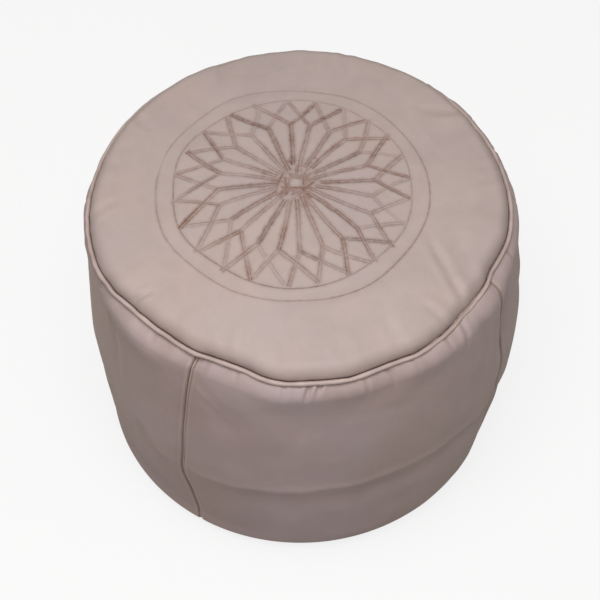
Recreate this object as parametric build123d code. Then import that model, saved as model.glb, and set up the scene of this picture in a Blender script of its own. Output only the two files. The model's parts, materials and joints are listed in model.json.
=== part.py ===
from build123d import *
import math
import os

# A round stuffed leather pouf with a tooled crown, a piped top seam, four side panels
# and a zipped base. Millimetres. +Z is up, and the origin is on the floor under the middle.
# The four side seams stand at 45 degrees to X and Y, and the zip runs along X.

# Overall sizes
BODY_DIAMETER = 500.0  # at the widest part of the side
BODY_HEIGHT = 400.0  # floor to the middle of the crown

# Materials
LEATHER = 1.5  # cover leather
BAG_CLOTH = 0.8  # cotton of the inner bag
THREAD = 0.8  # waxed sewing thread
GAP = 0.3  # air left between soft pieces that lie on each other

# Top seam and crown
CROWN_RISE = 34.0  # crown above the top seam
SHOULDER_ROLL = 16.0  # radius where the crown turns down to the seam
TOP_ROLL = 22.0  # radius where the side turns in to the seam
SEAM_ALLOWANCE = 12.0  # leather turned in behind the piping

# Piping
PIPING_RADIUS = 3.0  # outside of the covered cord
PIPING_LEATHER = 1.0
CORD_SLACK = 0.1

# Sides
BARREL_TAPER = 9.5  # how far the side draws in from its widest to each roll
LOW_ROLL = 16.0  # radius where the side turns in under the pouf
SIDE_SEAMS = 4
WELT_THICKNESS = 2.0
WELT_PROUD = 1.5  # welt standing out of the side
WELT_STOP = 12.0  # degrees of the roll that the welt stops short of the piping
FLANGE_DEPTH = 10.0  # leather turned in beside each welt

# Base
BASE_ROLL = 8.0  # height of the base seam, and the radius of the base's edge
ZIP_WINDOW = 390.0  # length of the opening that the zip closes
ZIP_WINDOW_WIDTH = 22.0
ZIP_RECESS = 9.5  # height of the zip tape's underside above the floor
ZIP_FLANGE = 13.0  # leather that the tape is sewn to
ZIP_END_LAP = 10.0  # tape past each end of the window
ZIP_ROWS = (0.3, 0.7)  # rows of stitches, as shares of the flange

# Zip
TAPE_THICKNESS = 0.8
TAPE_EDGE = 1.2  # half the gap between the two tapes
TOOTH_SLACK = 0.05  # between a tooth and the tape that it grips
TOOTH_PITCH = 4.0
TOOTH_LENGTH = 1.6  # along the zip
TOOTH_HEAD = 1.0  # how far a tooth reaches past the middle
TOOTH_REACH = 3.2  # how far a tooth reaches over its tape
TOOTH_HEIGHT = 3.0
SLIDER_LENGTH = 18.0
SLIDER_PLATE = 1.4
SLIDER_PLAY = 0.4  # between the slider and the teeth, tapes and stops
SLIDER_RIM = 1.4
BRIDGE_LENGTH = 6.0
BRIDGE_WIDTH = 1.8
STOP_LENGTH = 3.0
PULL_LENGTH = 20.0
PULL_WIDTH = 7.0
PULL_THICKNESS = 1.6
PULL_CORNER = 1.75
PULL_PLAY = 0.5  # between the pull's eye and the slider
PULL_EYE_WIDTH = 3.8
PULL_EYE_WALL = 0.85
PULL_PIN_RADIUS = 0.75
PULL_PIN_SLACK = 0.1
BAIL_POST = 1.0

# Stuffing
SIDE_WADDING = 12.0
WADDING_END = 7.0  # how far the side wadding stops short of each end of the side
BAG_CORNER = 8.0
BAG_LAP = 10.0
TOP_PAD_DEPTH = 49.0  # crown to the top of the inner bag
BASE_PAD_HEIGHT = 22.5  # floor to the underside of the inner bag

# Heights that follow from the sizes above
seam_height = BODY_HEIGHT - CROWN_RISE - PIPING_LEATHER  # middle of the piping
crown_seam = seam_height + PIPING_LEATHER
side_top = seam_height - PIPING_LEATHER
side_low = BASE_ROLL
side_middle = (side_top + side_low) / 2

# The side is one shallow arc between two rolls. Its arc's centre is far past the axis.
arc_half_height = (side_top - side_low) / 2 - TOP_ROLL
barrel_radius = (arc_half_height**2 + BARREL_TAPER**2) / (2 * BARREL_TAPER)
barrel_centre = BODY_DIAMETER / 2 - barrel_radius


def roll_centre(inset, height, roll):
    """Radius at which a roll's centre stands, for a roll that meets the side smoothly."""
    reach = barrel_radius - inset - roll
    return barrel_centre + math.sqrt(reach**2 - (height - side_middle) ** 2)


top_roll_centre = roll_centre(0, side_top - TOP_ROLL, TOP_ROLL)
low_roll_centre = roll_centre(0, side_low + LOW_ROLL, LOW_ROLL)

# The piping lies in the valley, touching the side's roll, and the crown comes down behind it.
piping_centre = top_roll_centre + math.sqrt(
    (TOP_ROLL + PIPING_RADIUS + CORD_SLACK) ** 2 - (TOP_ROLL + PIPING_LEATHER) ** 2
)
piping_angle = math.degrees(
    math.atan2(TOP_ROLL + PIPING_LEATHER, piping_centre - top_roll_centre)
)
crown_edge = piping_centre - PIPING_RADIUS
top_allowance_edge = crown_edge - SEAM_ALLOWANCE
base_edge = low_roll_centre
base_allowance_edge = base_edge - SEAM_ALLOWANCE
flange_edge = max(top_allowance_edge, base_allowance_edge)  # clear of both stuffing pads
top_thread_radius = top_roll_centre - THREAD
base_thread_radius = base_edge - SEAM_ALLOWANCE / 2

shoulder_centre = crown_edge - SHOULDER_ROLL
crown_radius = (shoulder_centre**2 + CROWN_RISE**2 - SHOULDER_ROLL**2) / (
    2 * (CROWN_RISE - SHOULDER_ROLL)
)

# The zip. Heights with no other name are measured from the middle of the tape.
zip_half = ZIP_WINDOW / 2
tape_end = zip_half + ZIP_END_LAP
tape_middle = ZIP_RECESS + TAPE_THICKNESS / 2
slider_rest = zip_half - PULL_LENGTH - 2 * SLIDER_PLAY - PULL_PIN_RADIUS
slider_travel = 2 * slider_rest
stop_start = slider_rest + SLIDER_LENGTH / 2 + SLIDER_PLAY
plate_inside = TOOTH_HEIGHT / 2 + SLIDER_PLAY
plate_outside = plate_inside + SLIDER_PLATE
pin_drop = PULL_PIN_RADIUS + PULL_PIN_SLACK + PULL_EYE_WALL + PULL_PLAY
pull_height = tape_middle - plate_outside - pin_drop

seam_angles = [45 + 360 / SIDE_SEAMS * i for i in range(SIDE_SEAMS)]


def on_circle(centre, radius, degrees):
    """A point on a circle in a section, at an angle above the outward direction."""
    turn = math.radians(degrees)
    return (centre[0] + radius * math.cos(turn), centre[1] + radius * math.sin(turn))


def arc(centre, radius, start, end):
    """An arc of a section between two angles."""
    return ThreePointArc(
        on_circle(centre, radius, start),
        on_circle(centre, radius, (start + end) / 2),
        on_circle(centre, radius, end),
    )


def closed(*edges):
    return make_face(Wire(list(edges)))


def barrel(inset, low, top, low_roll, top_roll):
    """Half section of a barrel: flat ends, rolled corners and the side's arc moved in."""
    low_centre = (roll_centre(inset, low + low_roll, low_roll), low + low_roll)
    top_centre = (roll_centre(inset, top - top_roll, top_roll), top - top_roll)
    side_centre = (barrel_centre, side_middle)
    side_radius = barrel_radius - inset
    low_angle = math.degrees(
        math.asin((low_centre[1] - side_middle) / (side_radius - low_roll))
    )
    top_angle = math.degrees(
        math.asin((top_centre[1] - side_middle) / (side_radius - top_roll))
    )
    return closed(
        Line((0, low), (low_centre[0], low)),
        arc(low_centre, low_roll, -90, low_angle),
        arc(side_centre, side_radius, low_angle, top_angle),
        arc(top_centre, top_roll, top_angle, 90),
        Line((top_centre[0], top), (0, top)),
        Line((0, top), (0, low)),
    )


def side_outline(inset):
    """Half section of the whole side, moved in by inset all round."""
    return barrel(
        inset, side_low + inset, side_top - inset, LOW_ROLL - inset, TOP_ROLL - inset
    )


def crown_outline(inset):
    """Half section of the crown above the top seam, moved in by inset."""
    centre = (shoulder_centre, crown_seam)
    roll = SHOULDER_ROLL - inset
    dome = (0, BODY_HEIGHT - crown_radius)
    angle = math.degrees(math.atan2(crown_seam - dome[1], shoulder_centre))
    return closed(
        Line((0, crown_seam), (shoulder_centre + roll, crown_seam)),
        arc(centre, roll, 0, angle),
        arc(dome, crown_radius - inset, angle, 90),
        Line((0, BODY_HEIGHT - inset), (0, crown_seam)),
    )


def base_outline(inset):
    """Half section of the base under its seam, moved in by inset."""
    centre = (base_edge - BASE_ROLL, BASE_ROLL)
    roll = BASE_ROLL - inset
    return closed(
        Line((0, inset), (centre[0], inset)),
        arc(centre, roll, -90, 0),
        Line((centre[0] + roll, BASE_ROLL), (0, BASE_ROLL)),
        Line((0, BASE_ROLL), (0, inset)),
    )


def band(inner, outer, low, top):
    """A rectangle of a section, between two radii and two heights."""
    return Pos((inner + outer) / 2, (low + top) / 2) * Rectangle(outer - inner, top - low)


def turned(section):
    """The solid that a half section sweeps round the axis."""
    return revolve(Plane.XZ * section, Axis.Z)


def slab(section, near, far):
    """A section in the plane of +X and +Z, as thick as near to far along +Y."""
    return Pos(0, far, 0) * extrude(Plane.XZ * section, amount=far - near)


def block(low, high):
    """A box from its lowest to its highest corner."""
    size = [b - a for a, b in zip(low, high)]
    middle = [(a + b) / 2 for a, b in zip(low, high)]
    return Pos(*middle) * Box(*size)


def both_sides(solid):
    """A solid and its mirror image across the middle of the zip."""
    return [solid, mirror(solid, about=Plane.XZ)]


wide = BODY_DIAMETER  # past everything, for trimming


# Crown: one disc of leather, with its edge turned in over the piping.
def make_top_panel():
    shell = crown_outline(0) - (
        crown_outline(LEATHER) & band(0, wide, crown_seam + LEATHER, BODY_HEIGHT)
    )
    return turned(shell - band(0, top_allowance_edge, crown_seam, crown_seam + LEATHER))


# Piping: a strip of leather folded round a cord, with both its edges in the seam.
def make_piping_cover():
    middle = Pos(piping_centre, seam_height)
    flange = band(top_allowance_edge, piping_centre, side_top, crown_seam)
    hollow = PIPING_RADIUS - PIPING_LEATHER
    return turned((middle * Circle(PIPING_RADIUS) + flange) - middle * Circle(hollow))


def make_piping_cord():
    radius = PIPING_RADIUS - PIPING_LEATHER - CORD_SLACK
    return turned(Pos(piping_centre, seam_height) * Circle(radius))


# Sides: each panel is a quarter of the barrel, with all four edges turned in.
def side_shell():
    strip = side_outline(0) - side_outline(LEATHER)
    keep = band(top_allowance_edge, wide, side_middle, BODY_HEIGHT)
    keep += band(base_allowance_edge, wide, 0, side_middle)
    return turned(strip & keep)


def panel_wedge():
    """The quarter that a panel fills, about +X, clear of half a welt on each side."""
    apex = WELT_THICKNESS / 2 / math.sin(math.pi / SIDE_SEAMS)
    spread = (wide - apex) * math.tan(math.pi / SIDE_SEAMS)
    outline = Polyline((apex, 0), (wide, spread), (wide, -spread), (apex, 0))
    return extrude(make_face(outline), amount=BODY_HEIGHT)


def clear_of_threads(section):
    """A side seam's section, notched at both ends for the threads that cross it."""
    depth = LEATHER + THREAD + GAP
    section -= band(0, top_thread_radius + THREAD, side_top - depth, side_top)
    return section - band(0, base_thread_radius + THREAD, side_low, side_low + depth)


def make_side_panel():
    """A side panel about +X."""
    half_turn = 180 / SIDE_SEAMS
    near = WELT_THICKNESS / 2
    flange = side_outline(LEATHER / 2) - side_outline(FLANGE_DEPTH)
    flange = clear_of_threads(flange & band(flange_edge, wide, 0, BODY_HEIGHT))
    first = Rot(0, 0, -half_turn) * slab(flange, near, near + LEATHER)
    second = Rot(0, 0, half_turn) * slab(flange, -near - LEATHER, -near)
    return (side_shell() & panel_wedge()) + first + second


def make_side_welt():
    """A welt strip in the plane of +X and +Z, proud of the leather where it shows."""
    inner = side_outline(FLANGE_DEPTH)
    hidden = side_outline(0) - inner
    hidden = clear_of_threads(hidden & band(flange_edge, wide, 0, BODY_HEIGHT))
    reach = TOP_ROLL + WELT_PROUD
    shown_top = on_circle((0, side_top - TOP_ROLL), reach, piping_angle - WELT_STOP)[1]
    proud = side_outline(-WELT_PROUD) - inner
    proud &= band(low_roll_centre, wide, side_low + WELT_PROUD, shown_top)
    half = WELT_THICKNESS / 2
    return slab(hidden + proud, -half, half)


# Base: two half discs sewn to the zip, and to each other past its ends.
def make_base_half():
    """The half of the base on the +Y side."""
    inside = base_outline(LEATHER) & band(0, wide, 0, BASE_ROLL - LEATHER)
    shell = base_outline(0) - inside
    shell -= band(0, base_allowance_edge, BASE_ROLL - LEATHER, BASE_ROLL)
    half_width = ZIP_WINDOW_WIDTH / 2
    wall = half_width + LEATHER
    wall_end = zip_half + LEATHER
    flange_low = ZIP_RECESS - LEATHER
    panel = turned(shell) & block((-wide, GAP / 2, 0), (wide, wide, BASE_ROLL))
    panel -= block((-zip_half, 0, 0), (zip_half, half_width, BASE_ROLL))
    # The long wall of the window, and the flange over it that takes the tape
    panel += block((-wall_end, half_width, 0), (wall_end, wall, ZIP_RECESS))
    panel += block(
        (-tape_end, half_width, flange_low), (tape_end, half_width + ZIP_FLANGE, ZIP_RECESS)
    )
    for side in (-1, 1):
        # The window's end wall and its flange
        near, far = sorted((side * zip_half, side * wall_end))
        panel += block((near, GAP / 2, 0), (far, wall, ZIP_RECESS))
        near, far = sorted((side * zip_half, side * tape_end))
        panel += block((near, GAP / 2, flange_low), (far, wall, ZIP_RECESS))
        # The turned-up edge where the two halves are sewn to each other
        near, far = sorted((side * zip_half, side * (base_edge - BASE_ROLL)))
        panel += block((near, GAP / 2, 0), (far, LEATHER, BASE_ROLL - LEATHER))
    return panel


# Zip: two tapes with teeth on their edges, three stops, the slider and its pull.
def make_zip_tape():
    """The tape on the +Y side."""
    far = ZIP_WINDOW_WIDTH / 2 + ZIP_FLANGE
    return block(
        (-tape_end, TAPE_EDGE, ZIP_RECESS), (tape_end, far, ZIP_RECESS + TAPE_THICKNESS)
    )


def gripping(head, length):
    """A clip on the +Y tape's edge, from its head across the middle to its two legs."""
    half = TOOTH_HEIGHT / 2
    root = TAPE_EDGE - TOOTH_SLACK
    clamp = TAPE_THICKNESS / 2 + TOOTH_SLACK
    outline = Polyline(
        (-head, -half),
        (TOOTH_REACH, -half),
        (TOOTH_REACH, -clamp),
        (root, -clamp),
        (root, clamp),
        (TOOTH_REACH, clamp),
        (TOOTH_REACH, half),
        (-head, half),
        (-head, -half),
    )
    return Pos(-length / 2, 0, tape_middle) * extrude(
        Plane.YZ * make_face(outline), amount=length
    )


def make_teeth(shift):
    """The teeth on the +Y tape, from the bottom stop to the slider."""
    first = -stop_start + TOOTH_LENGTH / 2 + SLIDER_PLAY + shift
    count = int((slider_rest - first) / TOOTH_PITCH) + 1
    tooth = gripping(TOOTH_HEAD, TOOTH_LENGTH)
    return [Pos(first + TOOTH_PITCH * i, 0, 0) * tooth for i in range(count)]


def make_zip_stops():
    """Two top stops, one on each tape, and the bottom stop that joins the tapes."""
    top = gripping(-TAPE_EDGE / 2, STOP_LENGTH)
    tops = both_sides(Pos(stop_start + STOP_LENGTH / 2, 0, 0) * top)
    half = gripping(0, STOP_LENGTH)
    bottom = Pos(-stop_start - STOP_LENGTH / 2, 0, 0) * (half + mirror(half, about=Plane.XZ))
    return tops + [bottom]


def make_zip_slider():
    """Two plates joined by the bridge that parts the teeth, with a bail for the pull."""
    half = SLIDER_LENGTH / 2
    inside = TOOTH_REACH + SLIDER_PLAY
    outside = inside + SLIDER_RIM
    rim_start = TAPE_THICKNESS / 2 + SLIDER_PLAY
    body = block(
        (half - BRIDGE_LENGTH, -BRIDGE_WIDTH / 2, -plate_outside),
        (half, BRIDGE_WIDTH / 2, plate_outside),
    )
    for low, high in ((plate_inside, plate_outside), (-plate_outside, -plate_inside)):
        body += block((-half, -outside, low), (half, outside, high))
    for side in (-1, 1):
        near, far = sorted((side * inside, side * outside))
        body += block((-half, near, rim_start), (half, far, plate_outside))
        body += block((-half, near, -plate_outside), (half, far, -rim_start))
    post = PULL_EYE_WIDTH / 2 + SLIDER_PLAY / 2
    pin = pull_height - tape_middle
    for side in (-1, 1):
        near, far = sorted((side * post, side * (post + BAIL_POST)))
        size = PULL_PIN_RADIUS + SLIDER_PLAY
        body += block((-size, near, pin - size), (size, far, -plate_outside))
    body += Pos(0, 0, pin) * Rot(90, 0, 0) * Cylinder(PULL_PIN_RADIUS, 2 * post + BAIL_POST)
    return Pos(slider_rest, 0, tape_middle) * body


def make_zip_pull():
    """The tab, lying flat along -X from its eye."""
    hole = PULL_PIN_RADIUS + PULL_PIN_SLACK
    eye = hole + PULL_EYE_WALL
    neck = eye + pin_drop
    half = PULL_THICKNESS / 2
    tab = block((-PULL_LENGTH, -PULL_WIDTH / 2, -half), (-neck, PULL_WIDTH / 2, half))
    tab = fillet(tab.edges().filter_by(Axis.Z), PULL_CORNER)
    tab += block((-neck, -PULL_EYE_WIDTH / 2, -half), (0, PULL_EYE_WIDTH / 2, half))
    tab += Rot(90, 0, 0) * Cylinder(eye, PULL_EYE_WIDTH)
    tab -= Rot(90, 0, 0) * Cylinder(hole, PULL_EYE_WIDTH)
    return Pos(slider_rest, 0, pull_height) * tab


# Sewing: each seam has a needle thread on one side and a bobbin thread on the other.
def ring_threads(radius, low, high):
    """Two threads round a seam, under and over its layers."""
    near, far = radius - THREAD / 2, radius + THREAD / 2
    under = turned(band(near, far, low - THREAD, low))
    over = turned(band(near, far, high, high + THREAD))
    return [under, over]


def make_top_seam_thread():
    return ring_threads(top_thread_radius, side_top - LEATHER, crown_seam + LEATHER)


def make_base_seam_thread():
    return ring_threads(base_thread_radius, BASE_ROLL - LEATHER, BASE_ROLL + LEATHER)


def make_side_seam_threads():
    depth = FLANGE_DEPTH / 2
    line = side_outline(depth - THREAD / 2) - side_outline(depth + THREAD / 2)
    line &= band(top_roll_centre, wide, 0, BODY_HEIGHT)
    near = WELT_THICKNESS / 2 + LEATHER
    pair = [slab(line, near, near + THREAD), slab(line, -near - THREAD, -near)]
    return [Rot(0, 0, angle) * thread for angle in seam_angles for thread in pair]


def make_zip_threads():
    """Two rows on each side of the zip, over the tape and under the leather."""
    lines = []
    for share in ZIP_ROWS:
        row = ZIP_WINDOW_WIDTH / 2 + ZIP_FLANGE * share
        for low in (ZIP_RECESS - LEATHER - THREAD, ZIP_RECESS + TAPE_THICKNESS):
            thread = block(
                (-zip_half, row - THREAD / 2, low), (zip_half, row + THREAD / 2, low + THREAD)
            )
            lines += both_sides(thread)
    return lines


# Stuffing: a cotton bag of fibre, with wadding over, round and under it.
bag_top = BODY_HEIGHT - TOP_PAD_DEPTH
bag_low = BASE_PAD_HEIGHT + GAP + BAG_CLOTH
bag_inset = LEATHER + SIDE_WADDING + 2 * GAP


def bag_outline(inset):
    corner = BAG_CORNER - inset
    return barrel(bag_inset + inset, bag_low + inset, bag_top - inset, corner, corner)


def make_crown_pad():
    """A domed pad, stepped in round its lower part to clear the top seam."""
    step = crown_seam + LEATHER + THREAD + GAP
    dome = crown_outline(LEATHER + GAP) & band(0, wide, step, BODY_HEIGHT)
    plug = band(0, top_allowance_edge - GAP, bag_top + BAG_CLOTH + 2 * GAP, step + GAP)
    return turned(dome + plug)


def make_side_wadding():
    wadding = side_outline(LEATHER + GAP) - barrel(
        LEATHER + GAP + SIDE_WADDING, side_low, side_top, GAP, GAP
    )
    wadding &= band(0, wide, side_low + WADDING_END, side_top - WADDING_END)
    ring = turned(wadding)
    notch = side_outline(0) - side_outline(FLANGE_DEPTH + GAP)
    half = WELT_THICKNESS / 2 + LEATHER + THREAD + GAP
    for angle in seam_angles:
        ring -= Rot(0, 0, angle) * slab(notch & band(0, wide, 0, BODY_HEIGHT), -half, half)
    return ring


def make_base_pad():
    radius = base_allowance_edge - GAP
    disc = turned(band(0, radius, LEATHER + GAP, BASE_PAD_HEIGHT))
    half_width = ZIP_WINDOW_WIDTH / 2 + ZIP_FLANGE + 2 * GAP
    ceiling = tape_middle + plate_outside + 2 * GAP
    disc -= block((-radius, -half_width, 0), (radius, half_width, ceiling))
    return disc


def make_bag_side():
    strip = bag_outline(0) - bag_outline(BAG_CLOTH)
    edge = roll_centre(bag_inset, bag_top - BAG_CORNER, BAG_CORNER)
    return turned(strip & band(edge - BAG_LAP, wide, 0, BODY_HEIGHT))


def make_bag_disc(low):
    edge = roll_centre(bag_inset, bag_top - BAG_CORNER, BAG_CORNER)
    return turned(band(0, edge, low, low + BAG_CLOTH))


def make_filling_core():
    return turned(bag_outline(BAG_CLOTH + GAP))


panel_names = {-90: "front", 0: "right", 90: "back", 180: "left"}
welt_names = ["back_right", "back_left", "front_left", "front_right"]
side_panel = make_side_panel()
side_welt = make_side_welt()
base_back = make_base_half()
tape_back = make_zip_tape()

nodes = {
    "top_panel": make_top_panel(),
    "piping_cover": make_piping_cover(),
    "piping_cord": make_piping_cord(),
    "base_panel_back": base_back,
    "base_panel_front": mirror(base_back, about=Plane.XZ),
    "zip_tape_back": tape_back,
    "zip_tape_front": mirror(tape_back, about=Plane.XZ),
    "zip_teeth_back": make_teeth(0),
    "zip_teeth_front": [mirror(t, about=Plane.XZ) for t in make_teeth(TOOTH_PITCH / 2)],
    "zip_stops": make_zip_stops(),
    "zip_slider": make_zip_slider(),
    "zip_pull": make_zip_pull(),
    "top_seam_thread": make_top_seam_thread(),
    "base_seam_thread": make_base_seam_thread(),
    "side_seam_threads": make_side_seam_threads(),
    "zip_threads": make_zip_threads(),
    "inner_bag_side": make_bag_side(),
    "inner_bag_top": make_bag_disc(bag_top + GAP),
    "inner_bag_base": make_bag_disc(bag_low - GAP - BAG_CLOTH),
    "filling_core": make_filling_core(),
    "crown_pad": make_crown_pad(),
    "side_wadding": make_side_wadding(),
    "base_pad": make_base_pad(),
}
for angle, name in panel_names.items():
    nodes[f"side_panel_{name}"] = Rot(0, 0, angle) * side_panel
for angle, name in zip(seam_angles, welt_names):
    nodes[f"side_welt_{name}"] = Rot(0, 0, angle) * side_welt

os.makedirs("parts", exist_ok=True)
for name, shape in nodes.items():
    if isinstance(shape, list):
        shape = Compound(children=shape)
    export_step(shape, f"parts/{name}.step")

print("slider rests at x", round(slider_rest, 3), "and travels", round(slider_travel, 3))
print("pull turns about x", round(slider_rest, 3), "z", round(pull_height, 3))
print("crown radius", round(crown_radius, 1), "piping at radius", round(piping_centre, 2))
print("top seam", round(seam_height, 2), "base seam radius", round(base_edge, 2))
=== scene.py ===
# %% [markdown]
# # A stuffed leather pouf
# The real pouf is a round cover of thin goatskin: a tooled crown, a piped seam, four side
# panels with welts between them, and a base in two halves with a zip. It is stuffed hard.
# The imported model gives every size, place and joint. This script makes the looks around it,
# so the first thing it does is to load that frame.

# %% Load the frame
import math

import bpy
import numpy as np
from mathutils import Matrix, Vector
from mathutils.geometry import delaunay_2d_cdt
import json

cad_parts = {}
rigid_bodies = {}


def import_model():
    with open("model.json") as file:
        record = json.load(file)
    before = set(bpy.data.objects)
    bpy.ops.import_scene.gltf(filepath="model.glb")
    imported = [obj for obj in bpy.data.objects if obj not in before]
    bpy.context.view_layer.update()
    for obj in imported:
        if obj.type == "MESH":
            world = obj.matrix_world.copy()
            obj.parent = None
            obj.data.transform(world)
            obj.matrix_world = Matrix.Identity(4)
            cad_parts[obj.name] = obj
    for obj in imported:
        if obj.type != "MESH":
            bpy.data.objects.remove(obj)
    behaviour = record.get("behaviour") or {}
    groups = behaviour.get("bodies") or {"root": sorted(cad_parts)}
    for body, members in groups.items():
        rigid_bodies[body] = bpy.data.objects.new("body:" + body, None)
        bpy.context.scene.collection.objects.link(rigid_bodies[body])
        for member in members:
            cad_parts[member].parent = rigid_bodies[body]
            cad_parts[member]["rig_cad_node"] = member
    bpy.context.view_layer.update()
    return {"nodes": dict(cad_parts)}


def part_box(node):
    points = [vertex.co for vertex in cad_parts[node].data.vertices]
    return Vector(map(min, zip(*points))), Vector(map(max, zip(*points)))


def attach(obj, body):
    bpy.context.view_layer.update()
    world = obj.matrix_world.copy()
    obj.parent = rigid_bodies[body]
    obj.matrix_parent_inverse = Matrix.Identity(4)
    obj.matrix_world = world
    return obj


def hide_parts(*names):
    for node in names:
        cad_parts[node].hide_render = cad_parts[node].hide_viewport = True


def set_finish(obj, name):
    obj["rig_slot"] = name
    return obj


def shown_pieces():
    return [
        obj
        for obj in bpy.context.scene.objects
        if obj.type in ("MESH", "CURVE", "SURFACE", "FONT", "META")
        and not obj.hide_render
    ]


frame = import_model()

mm = 0.001

# %% [markdown]
# ## The camera
# The camera stands in front of the pouf, a little to its left, and looks down at 55 degrees.
# Furniture that is viewed from so high shows its crown and only a short side, so a fairly
# long lens (90 mm) keeps the crown's ellipse natural. It comes first because every later
# choice is judged through it.

# %% Camera
AZIMUTH = -14  # degrees round the pouf from its front
PITCH = 35.17  # degrees up from looking straight down
camera_data = bpy.data.cameras.new("camera")
camera_data.lens = 90
camera_data.sensor_width = 36
camera = bpy.data.objects.new("camera", camera_data)
camera.location = (-0.2503, -1.0040, 1.6523)
camera.rotation_euler = (math.radians(PITCH), 0, math.radians(AZIMUTH))
bpy.context.scene.collection.objects.link(camera)
bpy.context.scene.camera = camera
print("camera is", round(camera.location.length, 2), "m from the origin")

# %% [markdown]
# ## Sizes
# Overall sizes are read from the frame. The rolls and thicknesses of leather are the pouf's
# design values. The side is a barrel: one shallow arc between a large roll under the piping
# and a smaller one at the floor. The crown is a dome that turns down in a shoulder.

# %% Read the sizes
LEATHER = 1.5 * mm
TOP_ROLL = 22 * mm
LOW_ROLL = 16 * mm
BASE_ROLL = 8 * mm
SHOULDER_ROLL = 16 * mm
BARREL_TAPER = 9.5 * mm
ALLOWANCE = 12 * mm  # leather turned in behind a seam

crown_low, crown_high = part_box("top_panel")
piping_low, piping_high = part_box("piping_cover")
panel_low, panel_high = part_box("side_panel_front")
body_radius = -panel_low.y
side_low, side_top = panel_low.z, panel_high.z
piping_radius = (piping_high.z - piping_low.z) / 2
piping_height = (piping_high.z + piping_low.z) / 2
piping_ring = piping_high.x - piping_radius
crown_edge = piping_ring - piping_radius
crown_seam, crown_top = crown_low.z, crown_high.z
base_edge = -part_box("base_panel_front")[0].y

side_middle = (side_top + side_low) / 2
half_arc = (side_top - side_low) / 2 - TOP_ROLL
barrel_radius = (half_arc**2 + BARREL_TAPER**2) / (2 * BARREL_TAPER)
barrel_centre = body_radius - barrel_radius
shoulder_centre = crown_edge - SHOULDER_ROLL
crown_rise = crown_top - crown_seam
crown_radius = (shoulder_centre**2 + crown_rise**2 - SHOULDER_ROLL**2) / (
    2 * (crown_rise - SHOULDER_ROLL)
)
print("body", round(body_radius * 2, 3), "m across, crown at", round(crown_top, 3), "m")


# %% [markdown]
# ## Sections
# Each soft piece is a section turned round the axis and then pushed about. A section is a
# list of points with the outward direction at each, spaced evenly, so that the mesh's rows
# fall where detail is needed. Arcs and straight runs are enough for all of them.

# %% Section helpers
def arc_run(centre, radius, start, end, spacing):
    """Points and outward directions along an arc of a section, between two angles."""
    count = max(2, int(abs(math.radians(end - start)) * radius / spacing) + 1)
    turn = np.radians(np.linspace(start, end, count))
    out = np.stack([np.cos(turn), np.sin(turn)], 1)
    return np.array(centre) + radius * out, out


def straight_run(start, end, out, spacing):
    """Points along a straight stretch, all with one outward direction."""
    start, end = np.array(start), np.array(end)
    count = max(2, int(np.linalg.norm(end - start) / spacing) + 1)
    share = np.linspace(0, 1, count)[:, None]
    return start + (end - start) * share, np.tile(np.array(out, float), (count, 1))


def join_runs(*runs):
    """One section from several, without the points that they share."""
    points, outs = [runs[0][0]], [runs[0][1]]
    for more, out in runs[1:]:
        points.append(more[1:])
        outs.append(out[1:])
    points, outs = np.concatenate(points), np.concatenate(outs)
    steps = np.linalg.norm(np.diff(points, axis=0), axis=1)
    return points, outs, np.concatenate([[0], np.cumsum(steps)])


def roll_centre(height, roll):
    """How far from the axis a roll's centre is, at a height."""
    reach = barrel_radius - roll
    return barrel_centre + math.sqrt(reach**2 - (height - side_middle) ** 2)


def barrel_angle(height, roll):
    """Angle at which a roll hands over to the side's arc."""
    return math.degrees(math.asin((height - side_middle) / (barrel_radius - roll)))


# %% The side's section, from behind the piping to under the base seam
def side_section(spacing, inset=0.0):
    top = (roll_centre(side_top - TOP_ROLL, TOP_ROLL), side_top - TOP_ROLL)
    low = (roll_centre(side_low + LOW_ROLL, LOW_ROLL), side_low + LOW_ROLL)
    top_angle = barrel_angle(top[1], TOP_ROLL)
    low_angle = barrel_angle(low[1], LOW_ROLL)
    up, down = (0, 1), (0, -1)
    return join_runs(
        straight_run((top[0] - 6 * mm, side_top - inset), (top[0], side_top - inset), up, 2 * mm),
        arc_run(top, TOP_ROLL - inset, 90, top_angle, 0.62 * spacing),
        arc_run((barrel_centre, side_middle), barrel_radius - inset, top_angle, low_angle, spacing),
        arc_run(low, LOW_ROLL - inset, low_angle, -90, 0.8 * spacing),
        straight_run((low[0], side_low + inset), (low[0] - ALLOWANCE, side_low + inset), down,
                     3 * mm),
    )


ROW = 2.05 * mm  # height of a row on the side
side_points, side_outs, side_down = side_section(ROW)
print("side section:", len(side_points), "rows over", round(side_down[-1], 3), "m")


# %% [markdown]
# ## Random fields
# Leather that is stuffed by hand is never quite round. Soft bumps and fine drag lines both
# come from one tool: random numbers on a grid, blurred by a chosen amount each way. The
# blur wraps round the pouf, so no join shows, and a fixed seed keeps each run the same.

# %% Blurred noise round the pouf
FIELD_WIDE, FIELD_TALL = 1024, 256
FIELD_HEIGHT = 0.46  # metres of section that a field covers
RIPPLE_ROW, ROUND_ROW = 0.1, 0.2  # how far down a field a curve round the pouf reads it
girth = 2 * math.pi * body_radius


def soft_field(seed, across, down):
    """A random field, about -1 to 1, blurred by these lengths round and down the pouf."""
    grid = np.random.default_rng(seed).standard_normal((FIELD_TALL, FIELD_WIDE))
    per_column, per_row = girth / FIELD_WIDE, FIELD_HEIGHT / FIELD_TALL
    wide = np.fft.fftfreq(FIELD_WIDE, per_column)[None, :]
    tall = np.fft.fftfreq(FIELD_TALL, per_row)[:, None]
    keep = np.exp(-2 * (math.pi * wide * across) ** 2 - 2 * (math.pi * tall * down) ** 2)
    keep[0, 0] = 0
    grid = np.real(np.fft.ifft2(np.fft.fft2(grid) * keep))
    return np.clip(grid / (2 * grid.std()), -1.4, 1.4)


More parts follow.
